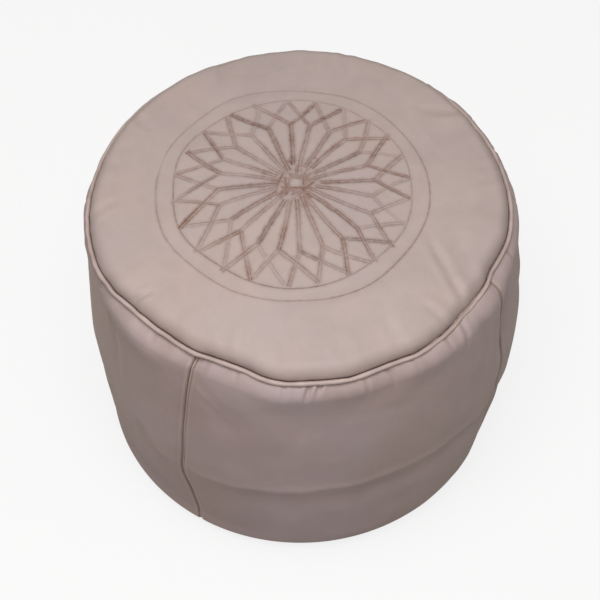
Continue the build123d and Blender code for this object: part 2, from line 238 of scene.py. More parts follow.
def read_field(field, azimuth, down):
    """The field at an azimuth in degrees and a length down the section."""
    x = (np.asarray(azimuth) / 360 * FIELD_WIDE) % FIELD_WIDE
    y = np.clip(np.asarray(down) / FIELD_HEIGHT, 0, 0.995) * (FIELD_TALL - 1)
    x0, y0 = np.floor(x).astype(int), np.floor(y).astype(int)
    fx, fy = x - x0, y - y0
    x0 %= FIELD_WIDE
    x1, y1 = (x0 + 1) % FIELD_WIDE, y0 + 1
    high = field[y0, x0] * (1 - fx) + field[y0, x1] * fx
    low = field[y1, x0] * (1 - fx) + field[y1, x1] * fx
    return high * (1 - fy) + low * fy


def bump(distance, width):
    return np.exp(-((distance / width) ** 2))


def ease(value, start, end):
    """0 before start, 1 after end, smooth between."""
    share = np.clip((value - start) / (end - start), 0, 1)
    return share * share * (3 - 2 * share)


# %% [markdown]
# ## The top seam's run
# The seam was sewn by hand and then pulled about by the stuffing, so from above it is a
# wavy ring. The list gives how far it stands out from a true circle at each azimuth, in
# millimetres. The crown's edge, the piping and the side all follow this one curve, so they
# stay sewn together.

# %% The wave in the top seam
SEAM_WAVE = [
    (-110, 2.5), (-100, 4), (-88, 5), (-81, 5), (-77, 3.5), (-72, 0), (-68, -3.3), (-62, -6.5),
    (-56, -7.7), (-50, -8), (-45, -6.8), (-40, -8.4), (-34, -9.4), (-28, -5.8), (-24, 0.4),
    (-20, 3.7),
    (-15, 3.5), (-9, 3), (-1, 5), (6, 0.6), (12, 0), (17, 3.6), (21, 2.2), (26, 0.8),
    (34, -3.1), (42, -2.6), (47, -3.2), (53, -5.4), (59, -1), (66, 2.6), (76, 3),
    (90, 2.4), (104, 1.6), (122, 2), (140, 1), (160, 0.5), (182, 2), (204, 2), (220, 2.4),
    (238, 2),
]  # (degrees from the front, mm)
SEAM_RIPPLE = 0.5 * mm  # small uneven pulls of single stitches


def ring_curve(knots, blur):
    """A smooth closed curve through (azimuth, value) knots."""
    angles = np.arange(0, 360, 0.5)
    turned = sorted((a % 360, v) for a, v in knots)
    values = np.interp(angles, [a for a, _ in turned], [v for _, v in turned], period=360)
    cycles = np.fft.fftfreq(len(angles), 0.5)
    values = np.real(np.fft.ifft(np.fft.fft(values) * np.exp(-2 * (math.pi * cycles * blur) ** 2)))
    return lambda azimuth: np.interp(azimuth, angles, values, period=360)


seam_wave = ring_curve(SEAM_WAVE, 1.6)
ripple_field = soft_field(3, 5 * mm, 60 * mm)


def seam_shift(azimuth):
    """How far the top seam stands out from its circle."""
    return seam_wave(azimuth) * mm + SEAM_RIPPLE * read_field(ripple_field, azimuth, RIPPLE_ROW)


def seam_lift(azimuth):
    """How far the top seam stands above its plane."""
    return 1.2 * mm * np.sin(np.radians(3 * azimuth + 40)) + 0.15 * seam_shift(azimuth)


seam_moves = seam_shift(np.arange(360.0)) * 1000
print("top seam moves", seam_moves.min().round(1), "to", seam_moves.max().round(1), "mm")

# %% [markdown]
# ## The side's shape
# Hand-stuffed leather shows broad lumps and puffs from the filling, pulls that run down from
# the piping, one long crease where the cover folds over the lower stuffing, soft folds, and
# slack drag lines. Each is a simple formula of the place on the side, and they add up. A
# crease is a line with a soft dent; its neighbours swell a little, as real leather does.

# %% Creases as lines on the side
def crease(azimuth, down, start, end, width, depth, bow=0.0):
    """A dent along a line. start and end are (azimuth, length down), bow bends it sideways."""
    across = (np.asarray(azimuth) - start[0] + 180) % 360 - 180
    run = np.array([math.radians(end[0] - start[0]) * body_radius, end[1] - start[1]])
    length = np.linalg.norm(run)
    run = run / length
    x, y = np.radians(across) * body_radius, down - start[1]
    along = (x * run[0] + y * run[1]) / length
    side = x * run[1] - y * run[0] - bow * 4 * along * (1 - along)
    fade = ease(along, -0.12, 0.15) * (1 - ease(along, 0.55, 1.12))
    lips = bump(side - 1.9 * width, width) + bump(side + 1.9 * width, width)
    return fade * depth * (0.35 * lips - bump(side, width))


# Pulls under the piping: azimuth, slant in degrees, length, width and depth in millimetres
PULLS = [
    (-10.2, -2.4, 30, 2.5, 3.4), (-7.0, -2.8, 24, 2.4, 2.8), (-18.4, 0.6, 30, 2.8, 1.2),
    (2.0, 1.0, 38, 2.6, 1.5), (7.0, 3.5, 32, 3.4, 1.7), (14.0, 3.2, 34, 3.0, 1.3),
    (25.0, 2.4, 24, 3.0, 1.6), (33.5, -1.0, 40, 3.6, 1.6), (-30.0, -1.0, 26, 2.6, 1.0),
    (-38.0, -2.0, 36, 3.4, 1.1), (-57.0, 1.0, 30, 3.2, 1.0), (-80.0, 0.6, 36, 3.0, 1.2),
    (62.0, -1.0, 34, 2.8, 1.4), (78.0, 2.0, 30, 2.4, 1.3), (97.0, 1.0, 36, 3.0, 1.6),
    (112.0, -2.0, 26, 2.4, 1.4), (127.0, 2.0, 40, 3.4, 1.4), (146.0, 1.0, 28, 2.2, 1.7),
    (163.0, -2.0, 36, 3.0, 1.5), (181.0, 1.5, 30, 2.6, 1.6), (197.0, 1.0, 42, 3.2, 1.4),
    (214.0, -1.6, 26, 2.4, 1.7), (233.0, 2.0, 34, 2.8, 1.3), (251.0, 1.0, 30, 2.8, 1.4),
]
# Soft folds further down: start, end (azimuth, mm down), width, depth, bow in millimetres
FOLDS = [
    ((-73, 55), (-69, 175), 6, 1.5, 4), ((-62, 200), (-48, 300), 12, 1.6, -8),
    ((-42, 45), (-30, 95), 5, 0.35, 3), ((-40, 70), (-27, 130), 6, 0.35, 4),
    ((55, 40), (49, 180), 7, 1.6, -5), ((68, 90), (75, 240), 9, 1.4, 6),
    ((38, 30), (41, 120), 8, 1.8, 5), ((-4, 70), (22, 92), 8, 0.3, 4),
    ((110, 60), (122, 190), 8, 1.5, 6), ((160, 70), (150, 210), 8, 1.4, -7),
    ((190, 60), (206, 150), 6, 1.2, 5), ((243, 80), (232, 230), 9, 1.5, 7),
]

# %% The long lower crease, which is deepest at the front
CREASE_RUN = [(-62, 226), (-45, 234), (-37, 229), (-28, 224), (-14, 214), (-4, 211), (5, 211),
              (16, 211), (34, 214), (50, 224), (75, 238), (110, 246), (150, 226), (185, 214),
              (225, 228), (262, 240)]  # (degrees, mm down the section)
CREASE_DEPTH = [(-62, 0.5), (-44, 2.0), (-30, 3.8), (-14, 4.4), (5, 4.6), (20, 4.2), (38, 3.4),
                (55, 1.6), (80, 1.0), (110, 1.4), (150, 2.6), (185, 3.4), (225, 2.0), (262, 0.8)]
crease_run = ring_curve(CREASE_RUN, 4)
crease_depth = ring_curve(CREASE_DEPTH, 4)
lumps = soft_field(11, 45 * mm, 38 * mm)
dimples = soft_field(12, 16 * mm, 15 * mm)
drags = soft_field(13, 5 * mm, 22 * mm)
flutes = soft_field(14, 7 * mm, 34 * mm)


LEAN = 7.5 * mm  # the stuffing has sunk a little to one side
LEAN_WAY = 76  # degrees from the front
LEAN_MIDDLE, LEAN_REACH = 190 * mm, 150 * mm  # it leans most here down the side, less past this
SHOULDER_PLACE = 46 * mm  # where down the side the top roll is drawn in most
SHOULDER_EASE = 4.0 * mm  # the roll under the piping is flatter than a true arc
SHOULDER_SLACK = 0.6 * mm  # and a little flatter still at the front than at the back
# Puffs under the piping: azimuth, mm down, half width in degrees, height in mm
PUFFS = [
    (-62, 40, 14, 5.5), (50, 40, 9, 3.5), (-20, 36, 8, 1.6), (23, 38, 8, 1.6), (34, 40, 6, 1.4),
    (120, 42, 12, 3.0), (165, 38, 9, 2.4), (212, 42, 12, 2.8), (250, 38, 9, 2.2),
]


def shoulder_ease(azimuth, down):
    """Draws the end of the top roll in, faster before its deepest place than after it."""
    past = down - SHOULDER_PLACE
    ease_in = SHOULDER_EASE + SHOULDER_SLACK * np.cos(np.radians(azimuth - AZIMUTH))
    return ease_in / (np.exp(-past / (22 * mm)) + np.exp(past / (42 * mm)))


def puffs(azimuth, down):
    """How far the soft puffs under the piping stand out."""
    total = 0
    for centre, middle, half_width, height in PUFFS:
        away = (azimuth - centre + 180) % 360 - 180
        total = total + height * mm * bump(away, half_width) * bump(down - middle * mm, 20 * mm)
    return total


def lean(azimuth, down):
    """How far the whole side leans out."""
    return LEAN * np.cos(np.radians(azimuth - LEAN_WAY)) * bump(down - LEAN_MIDDLE, LEAN_REACH)


def side_relief(azimuth, down):
    """How far the side's leather stands out from its section, away from the seams."""
    relief = 2.6 * mm * read_field(lumps, azimuth, down)
    relief += lean(azimuth, down) + puffs(azimuth, down) - shoulder_ease(azimuth, down)
    relief += 0.7 * mm * read_field(dimples, azimuth, down)
    below = down - (crease_run(azimuth) + 3 * read_field(dimples, azimuth, ROUND_ROW)) * mm
    dent = crease_depth(azimuth) * mm
    relief -= dent * bump(below - 20 * mm, 20 * mm) * 0.6
    relief += dent * 0.34 * bump(below + 2 * mm, 8 * mm)
    near_top = bump(down - 14 * mm, 26 * mm)
    relief += 1.1 * mm * near_top * read_field(flutes, azimuth, down)
    relief += 0.28 * mm * read_field(drags, azimuth, down)
    for start, slant, length, width, depth in PULLS:
        first, last = (start, 7 * mm), (start + slant, (7 + length) * mm)
        relief += crease(azimuth, down, first, last, width * mm, depth * mm, slant * mm)
    for (a, m), (b, n), width, depth, bow in FOLDS:
        first, last = (a, m * mm), (b, n * mm)
        relief += crease(azimuth, down, first, last, width * mm, depth * mm, bow * mm)
    return relief


# %% [markdown]
# ## The side seams
# Four seams join the panels, each with a thin welt between the two leathers. The stitching
# pulls the seam in, so each panel's edge rolls over into a narrow valley. The seams wander,
# because the panels were cut and sewn by eye.

# %% Seam wander and valley
SEAM_AZIMUTHS = {"front_left": -45, "front_right": 45, "back_right": 135, "back_left": 225}
SEAM_WANDER = {  # (mm down the section, mm sideways)
    "front_left": [(0, 11), (60, 6), (110, 1), (150, -1.5), (190, -4), (225, -8.5), (250, -11),
                   (276, -8), (300, -4.5), (326, 0), (400, 6)],
    "front_right": [(0, 19), (50, 19), (120, 24), (200, 25), (260, 22), (400, 12)],
    "back_right": [(0, 2), (90, -2), (180, 1), (300, 3), (400, 0)],
    "back_left": [(0, -3), (100, 1), (210, 3), (300, 0), (400, -3)],
}
WELT_HALF = 1.1 * mm
LIP = 3.0 * mm  # radius at which a panel's edge rolls into the seam
FLANGE = 7 * mm  # how far the turned-in edge is modelled


def seam_line(name, down):
    """Azimuth of a side seam, in degrees, at a length down the section."""
    knots = SEAM_WANDER[name]
    steps = np.linspace(0, 400, 161)
    shift = np.interp(steps, [k[0] for k in knots], [k[1] for k in knots])
    kernel = bump(np.arange(-12, 13), 4)
    shift = np.convolve(np.pad(shift, 12, mode="edge"), kernel / kernel.sum(), mode="valid")
    return SEAM_AZIMUTHS[name] + np.degrees(np.interp(down * 1000, steps, shift) * mm / body_radius)


def seam_dip(distance, down):
    """How far the leather sinks towards a side seam."""
    uneven = 1 + 0.25 * np.sin(down * 70)
    return -(1.7 * mm * bump(distance, 17 * mm) + 1.1 * mm * bump(distance, 6 * mm)) * uneven


def dip_at(azimuth, down):
    """The same dip, at any place on the side."""
    total = 0
    for name in SEAM_AZIMUTHS:
        away = (azimuth - seam_line(name, down) + 180) % 360 - 180
        total = total + seam_dip(np.radians(away) * body_radius, down)
    return total


print("side seams at", sorted(SEAM_AZIMUTHS.values()), "degrees")


# %% [markdown]
# ## From section to space
# One function puts any point of the side in space: it takes the section's point, pushes it
# out by the relief, and near the top follows the wavy seam. Panels, welts, stitches and the
# wadding underneath all use it, so they keep to each other.

# %% Place points on the side
def follow_seam(down):
    """How much of the top seam's wave is left at a length down the side."""
    return 1 - ease(down, 10 * mm, 70 * mm)


def place_side(azimuth, points, outs, down, push):
    """Points in space for rows of a section at given azimuths. push is along the outward way."""
    radius = points[..., 0] + outs[..., 0] * push + follow_seam(down) * seam_shift(azimuth)
    lift = (1 - ease(down, 5 * mm, 60 * mm)) * seam_lift(azimuth)
    height = points[..., 1] + outs[..., 1] * push + lift
    turn = np.radians(azimuth)
    return np.stack([radius * np.sin(turn), -radius * np.cos(turn), height], -1)


BASE_QUIET = 340 * mm, 370 * mm  # the relief fades out between these lengths down the side


def quiet_ends(down):
    """Relief fades out where the leather is sewn into the top and base seams."""
    return ease(down, 4 * mm, 16 * mm) * (1 - ease(down, *BASE_QUIET))


# %% [markdown]
# ## Meshes from grids
# Blender builds a mesh from a list of points and a list of faces. For a grid the faces are
# pure counting. The helper below also stores one colour per point, called marks, which the
# leather's material reads: red is tooling stain, green is its redness, blue is dirt and
# painted shade in the seams, creases and hollows, and alpha is wear on the ridges.

# %% Mesh helpers
def make_piece(name, points, faces, marks=None):
    """A smooth object from points and faces (an array or a list), with its marks if it has any."""
    mesh = bpy.data.meshes.new(name)
    faces = faces if isinstance(faces, list) else faces.tolist()
    mesh.from_pydata(points.reshape(-1, 3).tolist(), [], faces)
    mesh.shade_smooth()
    if marks is not None:
        layer = mesh.attributes.new("marks", "FLOAT_COLOR", "POINT")
        layer.data.foreach_set("color", marks.astype(np.float32).ravel())
    piece = bpy.data.objects.new(name, mesh)
    bpy.context.scene.collection.objects.link(piece)
    return piece


def grid_faces(rows, columns, wrap_columns=False, wrap_rows=False, first=0):
    """Quads of a grid whose points are listed row by row."""
    row = np.arange(rows if wrap_rows else rows - 1)[:, None]
    column = np.arange(columns if wrap_columns else columns - 1)[None, :]
    next_row, next_column = (row + 1) % rows, (column + 1) % columns
    corners = [row * columns + column, row * columns + next_column,
               next_row * columns + next_column, next_row * columns + column]
    return np.stack(corners, -1).reshape(-1, 4) + first


# The third mark is dirt together with painted shade in seams, creases, hollows and undersides
def leather_marks(stain, redness, dirt_and_shade, wear):
    """The four marks of each point side by side, each from 0 to 1."""
    shape = np.broadcast(stain, redness, dirt_and_shade, wear).shape
    layers = [np.broadcast_to(layer, shape) for layer in (stain, redness, dirt_and_shade, wear)]
    return np.clip(np.stack(layers, -1), 0, 1)


def thicken(piece, thickness):
    """Gives a sheet its thickness, inwards, with a closed edge."""
    solid = piece.modifiers.new("thickness", "SOLIDIFY")
    solid.thickness = thickness
    solid.offset = -1


def finish_piece(piece, slot, body="pouf", replaces=()):
    """Puts a piece on its body, in its slot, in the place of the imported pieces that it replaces."""
    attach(piece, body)
    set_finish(piece, slot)
    if replaces:
        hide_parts(*replaces)
    return piece


# %% [markdown]
# ## The side panels
# Each panel is a quarter of the barrel. It could be sculpted, but a grid that knows its
# place gives control: columns crowd together at the seams, where the edge rolls over into
# the valley and runs 7 mm inwards as a turned edge, and are wider in the middle.

# %% Columns of a panel
COLUMN = 2.1 * mm
SEAM_COLUMN = 0.8 * mm
SEAM_ZONE = 10 * mm


def panel_columns():
    """Places across a panel: share of the width, distance from the edge and depth."""
    width = girth / 4
    turned = np.linspace(FLANGE, 0, 5)[:-1]
    roll = np.linspace(0, math.pi / 2, 6)
    near = np.arange(LIP + SEAM_COLUMN, SEAM_ZONE, SEAM_COLUMN)
    middle = np.linspace(SEAM_ZONE, width - SEAM_ZONE, int((width - 2 * SEAM_ZONE) / COLUMN))
    across = np.concatenate([0 * turned, LIP * (1 - np.cos(roll)), near])
    depth = np.concatenate([turned + LIP, LIP * (1 - np.sin(roll)), 0 * near])
    across = np.concatenate([across, middle, width - across[::-1]])
    depth = np.concatenate([depth, 0 * middle, depth[::-1]])
    return across / width, depth


column_share, column_depth = panel_columns()
print("a panel has", len(column_share), "columns and", len(side_points), "rows")


# %% Build the four panels
def side_panel(name, left, right):
    """One quarter of the side, from the seam on its left to the one on its right."""
    rows, columns = len(side_points), len(column_share)
    down = np.repeat(side_down[:, None], columns, 1)
    share = np.repeat(column_share[None, :], rows, 0)
    depth = np.repeat(column_depth[None, :], rows, 0)
    radius = side_points[:, :1]
    margin = np.degrees(WELT_HALF / radius)
    start = seam_line(left, side_down)[:, None] + margin
    end = seam_line(right, side_down)[:, None] - margin
    end = np.where(end < start, end + 360, end)
    azimuth = start + (end - start) * share
    push = (side_relief(azimuth, down) + dip_at(azimuth, down)) * quiet_ends(down) - depth
    points = place_side(azimuth, side_points[:, None, :], side_outs[:, None, :], down, push)
    from_seam = np.minimum(share, 1 - share) * girth / 4
    below_piping = down - 9 * mm
    # Painted shade: darker in the seam valleys and in a band under the piping
    dirt_and_shade = 0.55 * bump(from_seam, 2.0 * mm) + 0.16 * bump(from_seam, 9 * mm)
    dirt_and_shade += 0.6 * bump(below_piping, 4 * mm) + 0.14 * bump(below_piping, 16 * mm)
    # Painted shade in the hollows of the relief, deeper dents darker
    hollow_shade = np.clip(-side_relief(azimuth, down) / (4 * mm), 0, 1)
    wear = 0.55 * bump(from_seam - 3.6 * mm, 1.8 * mm)
    wear += np.clip(side_relief(azimuth, down) / (6 * mm), 0, 1) * 0.35
    marks = leather_marks(np.zeros_like(down), np.zeros_like(down), dirt_and_shade + 0.3 * hollow_shade, wear)
    faces = grid_faces(rows, columns)[:, ::-1]
    piece = make_piece(f"side_leather_{name}", points, faces, marks)
    thicken(piece, LEATHER)
    return finish_piece(piece, "side_leather", replaces=[f"side_panel_{name}"])


PANEL_SEAMS = {
    "front": ("front_left", "front_right"), "right": ("front_right", "back_right"),
    "back": ("back_right", "back_left"), "left": ("back_left", "front_left"),
}
side_panels = [side_panel(name, *seams) for name, seams in PANEL_SEAMS.items()]
print("side panels:", [p.name for p in side_panels])

# %% [markdown]
# ## The welts
# A welt is a folded strip of leather sewn between two panels. It keeps the stitches from
# showing and stiffens the seam. Only its rounded edge shows, deep in the valley, so a
# narrow tube-like strip along each seam is enough.

# %% Build the four welts
WELT_SINK = 1.5 * mm  # the welt's edge lies this far under the panels
WELT_DEPTH = 8 * mm
WELT_PRESSED = 0.05 * mm  # the panels press into the welt, so no gap shows beside it


def side_welt(name):
    """The welt in one seam: across it, where each column is and how deep it lies."""
    half = np.array([-1, -1, -0.8, -0.35, 0.35, 0.8, 1, 1]) * (WELT_HALF + WELT_PRESSED)
    sink = np.array([WELT_DEPTH, 1.2 * mm, 0.35 * mm, 0, 0, 0.35 * mm, 1.2 * mm, WELT_DEPTH])
    rows, columns = len(side_points), len(half)
    centre = seam_line(name, side_down)[:, None]
    down = np.repeat(side_down[:, None], columns, 1)
    azimuth = centre + np.degrees(half[None, :] / side_points[:, :1])
    relief = side_relief(centre, side_down[:, None]) + seam_dip(0, side_down[:, None])
    push = relief * quiet_ends(side_down)[:, None] - WELT_SINK - sink[None, :]
    points = place_side(azimuth, side_points[:, None, :], side_outs[:, None, :], down, push)
    # Painted shade: the welt is darker on its sides, deep in the seam
    dirt_and_shade = np.repeat(np.where(sink > 1 * mm, 0.85, 0.2)[None, :], rows, 0)
    wear = np.repeat(np.where(sink < 0.5 * mm, 0.6, 0.0)[None, :], rows, 0)
    marks = leather_marks(0 * dirt_and_shade, 0 * dirt_and_shade, dirt_and_shade, wear)
    faces = grid_faces(rows, columns, wrap_columns=True)[:, ::-1]
    piece = make_piece(f"welt_{name}", points, faces, marks)
    return finish_piece(piece, "side_leather", replaces=[f"side_welt_{name}"])


side_welts = [side_welt(name) for name in SEAM_AZIMUTHS]
print("welts:", [p.name for p in side_welts])

# %% [markdown]
# ## The piping
# The piping is a thin strip of leather folded round a cotton cord and caught in the seam.
# It is a tube along the wavy ring. The hand shows in it: it swells and thins a little, it
# has small puckers, and at the back its two ends lap over each other.

# %% Rings along the top seam
PIPE_COLUMNS = 900
PIPING_VISIBLE = 2.55 * mm  # the leather is drawn tight on its cord
PIPE_SIDES = 16
pipe_azimuth = np.arange(PIPE_COLUMNS) * 360 / PIPE_COLUMNS
pinch_field = soft_field(21, 4 * mm, 60 * mm)
LAP_AZIMUTH = 172


def ring_tube(azimuth, inset, radius, sides, twist=0.0, lobes=0, lobe_depth=0.0):
    """A tube round the top seam. lobes and twist make a laid cord of it."""
    around = np.arange(sides) / sides * 2 * math.pi
    turn = np.radians(azimuth)[:, None]
    lobed = np.abs(np.sin((around[None, :] * lobes + twist * turn) / 2))
    thick = radius[:, None] * (1 + lobe_depth * lobed)
    ring = piping_ring + seam_shift(azimuth)[:, None] - inset
    out = ring + thick * np.cos(around[None, :])
    height = piping_height + seam_lift(azimuth)[:, None] + thick * np.sin(around[None, :])
    return np.stack([out * np.sin(turn), -out * np.cos(turn), height], -1)


# %% Build the piping and its cord
def piping():
    pinch = read_field(pinch_field, pipe_azimuth, ROUND_ROW)
    lap = (pipe_azimuth > LAP_AZIMUTH) & (pipe_azimuth < LAP_AZIMUTH + 5)
    radius = PIPING_VISIBLE * (1 + 0.10 * pinch) + 0.5 * mm * lap
    points = ring_tube(pipe_azimuth, 0, radius, PIPE_SIDES)
    around = np.arange(PIPE_SIDES) / PIPE_SIDES * 2 * math.pi
    # Painted shade: the tube is darker on its underside, over a low even dirt
    dirt_and_shade = np.repeat(0.22 + 0.6 * np.clip(-np.sin(around), 0, 1)[None, :], PIPE_COLUMNS, 0)
    wear = np.repeat(np.clip(np.sin(around + 0.3), 0, 1)[None, :] ** 2, PIPE_COLUMNS, 0)
    handled = read_field(soft_field(22, 9 * mm, 60 * mm), pipe_azimuth, ROUND_ROW)
    wear = wear * (0.55 + 0.3 * pinch + 0.35 * handled)[:, None]
    # Painted shade on the tube's inner side, towards the seam
    dirt_and_shade += 0.5 * np.clip(-np.cos(around) - 0.2, 0, 1)[None, :]
    marks = leather_marks(0 * dirt_and_shade, 0 * dirt_and_shade, dirt_and_shade * (1 - 0.7 * wear), wear)
    faces = grid_faces(PIPE_COLUMNS, PIPE_SIDES, True, True)
    piece = make_piece("piping_leather", points, faces, marks)
    return finish_piece(piece, "piping_leather", replaces=["piping_cover"])


CORD_RADIUS = 1.55 * mm
CORD_SIDES = 12


def piping_cord():
    radius = np.full(PIPE_COLUMNS, CORD_RADIUS)
    points = ring_tube(pipe_azimuth, 0, radius, CORD_SIDES, twist=200, lobes=3, lobe_depth=0.22)
    piece = make_piece("piping_cord_laid", points, grid_faces(PIPE_COLUMNS, CORD_SIDES, True, True))
    return finish_piece(piece, "cotton_cord", replaces=["piping_cord"])


piping_piece = piping()
piping_cord()
print("piping:", len(piping_piece.data.polygons), "faces")

# %% [markdown]
# ## The tooling on the crown
# The maker pressed the pattern into damp leather with a two-pointed tool and stained the
# lines. Twenty-four spokes run from the hub; from each spoke's end two arms reach the inner
# ring where the next spokes would, so that arms cross into petals and diamonds. The spacing
# is a rule, the unevenness is random with a fixed seed. Each double stroke is kept as two
# thin grooves, and each groove as a bent line, so its depth and stain come from distance.

# %% Plan of the pattern
SPOKES = 24
SPOKE_STEP = 360 / SPOKES
FIRST_SPOKE = -10.0  # degrees from the front
PATTERN_CENTRE = np.array([-7.8, 1.9]) * mm
HUB_CENTRE = np.array([-4.0, 4.2]) * mm
SPOKE_START = 23 * mm
SPOKE_END = 86.5 * mm
FOOT_TURN = 3.5  # degrees by which the arms' feet run ahead of the spokes
FOOT_SWAY = 3.2
FOOT_SWAY_WAY = 325
INNER_RING = 130.5 * mm
OUTER_RING = 148 * mm
TRACK = 1.5 * mm  # each groove of a double stroke from its middle
GROOVE = 0.7 * mm  # half width of a groove
GROOVE_DEPTH = 0.85 * mm
hand = np.random.default_rng(7)


def polar(centre, radius, azimuth):
    turn = np.radians(azimuth)
    return centre + radius * np.array([np.sin(turn), -np.cos(turn)])


def ring_meet(azimuth, reach):
    """Where a ray from the hub meets a circle round the pattern's centre."""
    way = polar(np.zeros(2), 1, azimuth)
    from_ring = HUB_CENTRE - PATTERN_CENTRE
    along = -from_ring @ way + math.sqrt((from_ring @ way) ** 2 - from_ring @ from_ring + reach**2)
    return HUB_CENTRE + along * way


def uneven(spread):
    return float(np.clip(hand.normal(0, spread), -2 * spread, 2 * spread))


def drawn(start, end, wobble, step=2.6 * mm):
    """A line drawn by hand between two points: a slight bow and a slight shake."""
    length = np.linalg.norm(end - start)
    count = max(3, int(length / step) + 1)
    share = np.linspace(0, 1, count)[:, None]
    side = np.array([-(end - start)[1], (end - start)[0]]) / length
    shake = np.cumsum(hand.normal(0, 1, count))
    shake = shake - np.linspace(shake[0], shake[-1], count)
    bow = uneven(1.0) * 4 * share[:, 0] * (1 - share[:, 0])
    return start + (end - start) * share + side * ((0.16 * shake + bow) * wobble)[:, None]


# %% Strokes: (line, offsets of its grooves, darkness, redness, width)
strokes = []
spoke_tips = []
for spoke in range(SPOKES):
    azimuth = FIRST_SPOKE + SPOKE_STEP * spoke
    start = polar(HUB_CENTRE, SPOKE_START + uneven(3 * mm), azimuth + uneven(1.5))
    turn = math.radians(azimuth)
    # The spokes reach furthest at the front and least at the sides
    reach = SPOKE_END + (2 * math.cos(turn) + 2 * math.cos(2 * turn)) * mm
    tip = polar(HUB_CENTRE, reach + uneven(1.6 * mm), azimuth + uneven(0.8))
    spoke_tips.append(tip)
    tone = 0.84 + uneven(0.14)
    strokes.append((drawn(start, tip, 0.9 * mm), (-TRACK, TRACK), tone, 0.72 + uneven(0.24), 1.0))
for spoke, tip in enumerate(spoke_tips):
    azimuth = FIRST_SPOKE + SPOKE_STEP * spoke
    for side in (-1, 1):
        reach = INNER_RING - 1.5 * mm + uneven(1.6 * mm)
        ahead = azimuth + side * SPOKE_STEP
        ahead += FOOT_TURN + FOOT_SWAY * math.cos(math.radians(ahead - FOOT_SWAY_WAY))
        foot = ring_meet(ahead + uneven(0.9), reach)
        tone = 0.76 + uneven(0.2)
        track = TRACK * (0.9 + uneven(0.1))
        line = drawn(tip, foot, 0.7 * mm)
        strokes.append((line, (-track, track), tone, 0.62 + uneven(0.3), 0.92))

# %% Rings, and the knot of short strokes round the hub
RING_POINTS = 260
KNOT_STROKES = 18
DOUBLE_STROKES = 12
DOT_RADIUS = 6.2 * mm
for radius, tone in ((INNER_RING, 0.74), (OUTER_RING, 0.68)):
    ring_azimuth = np.linspace(0, 360, RING_POINTS + 1)
    wave = sum(uneven(0.55 * mm) * np.sin(np.radians(k * ring_azimuth + 90 * k))
               for k in range(2, 9))
    ring = np.stack([polar(PATTERN_CENTRE, radius + w, a) for w, a in zip(wave, ring_azimuth)])
    strokes.append((ring, (0.0,), tone, 0.25, 0.72))
for chord in range(KNOT_STROKES):
    azimuth = 360 / KNOT_STROKES * chord + uneven(5)
    middle = polar(HUB_CENTRE, (11 + uneven(3)) * mm, azimuth)
    half = (14 + uneven(4)) * mm
    turn = math.radians(azimuth + uneven(14))
    along = np.array([math.cos(turn), math.sin(turn)])
    line = drawn(middle - along * half, middle + along * half, 0.8 * mm)
    strokes.append((line, (0.0,), 0.72 + uneven(0.2), 0.95, 0.9))
for chord in range(DOUBLE_STROKES):
    azimuth = 360 / DOUBLE_STROKES * chord + 12 + uneven(5)
    near, far = polar(HUB_CENTRE, 8 * mm, azimuth), polar(HUB_CENTRE, 26 * mm, azimuth + uneven(7))
    line = drawn(near, far, 0.6 * mm)
    strokes.append((line, (-0.9 * mm, 0.9 * mm), 0.75 + uneven(0.2), 0.95, 0.9))
dot_azimuth = np.linspace(0, 360, 33)
dot_ring = np.stack([polar(HUB_CENTRE, DOT_RADIUS, a) for a in dot_azimuth])
strokes.append((dot_ring, (0.0,), 0.5, 0.8, 0.7))
print("tooling:", len(strokes), "strokes")

# %% [markdown]
# ## The crown's mesh
# A groove a millimetre wide would need millions of even squares. Instead the mesh is
# laid out along the grooves: constrained Delaunay triangulation keeps every given line as
# an edge and fills the rest with larger triangles. Outside the tooling the crown is a plain
# ring of rows that follow the shoulder down to the seam.


# %% Lines that the mesh must keep
def shifted(line, offset):
    """The line moved sideways."""
    way = np.gradient(line, axis=0)
    way /= np.linalg.norm(way, axis=1)[:, None]
    return line + offset * np.stack([-way[:, 1], way[:, 0]], 1)


grooves = []
for line, tracks, tone, redness, width in strokes:
    fade = tone * (1 + 0.28 * np.sin(np.linspace(uneven(3), 3 + uneven(3), len(line))))
    for track in tracks:
        grooves.append((shifted(line, track), fade * (1 + uneven(0.18)), redness, width))

EDGE = 0.72 * mm  # the mesh keeps a line at each side of a groove
GUARD = 1.7 * mm  # and another past each side of the two rings, where the leather is plain again
mesh_points, mesh_lines = [], []
for line, _, _, _ in grooves:
    is_ring = len(line) > RING_POINTS
    for offset in (-GUARD, -EDGE, 0, EDGE, GUARD) if is_ring else (-EDGE, 0, EDGE):
        first = len(mesh_points)
        mesh_points.extend(shifted(line, offset).tolist())
        mesh_lines.extend((first + i, first + i + 1) for i in range(len(line) - 1))
print("grooves:", len(grooves), "with", len(mesh_points), "points")

# %% Distance from every point to the nearest grooves
piece_starts = np.concatenate([line[:-1] for line, _, _, _ in grooves])
piece_ends = np.concatenate([line[1:] for line, _, _, _ in grooves])
piece_tones = np.concatenate([(fade[1:] + fade[:-1]) / 2 for _, fade, _, _ in grooves])
piece_reds = np.concatenate([np.full(len(line) - 1, red) for line, _, red, _ in grooves])
piece_widths = np.concatenate([np.full(len(line) - 1, width) for line, _, _, width in grooves])


def tooling(points):
    """Groove (0 to 1), stain and redness at points of the crown's plan."""
    groove, stain, red = (np.zeros(len(points)) for _ in range(3))
    run = piece_ends - piece_starts
    square = (run**2).sum(1)
    for first in range(0, len(points), 2000):
        part = points[first : first + 2000, None, :] - piece_starts
        share = np.clip((part * run).sum(2) / square, 0, 1)
        gap = np.linalg.norm(part - run * share[..., None], axis=2) / piece_widths
        cut = bump(gap, GROOVE) * np.clip(piece_tones * 1.5, 0, 1)
        groove[first : first + 2000] = cut.max(1)
        # A dark line, and a paler stain that has spread beside it
        tint = np.maximum(bump(gap, 0.95 * mm), 0.62 * bump(gap, 2.0 * mm)) * piece_tones
        best = tint.argmax(1)
        stain[first : first + 2000] = tint.max(1)
        red[first : first + 2000] = piece_reds[best]
    return groove, stain, red


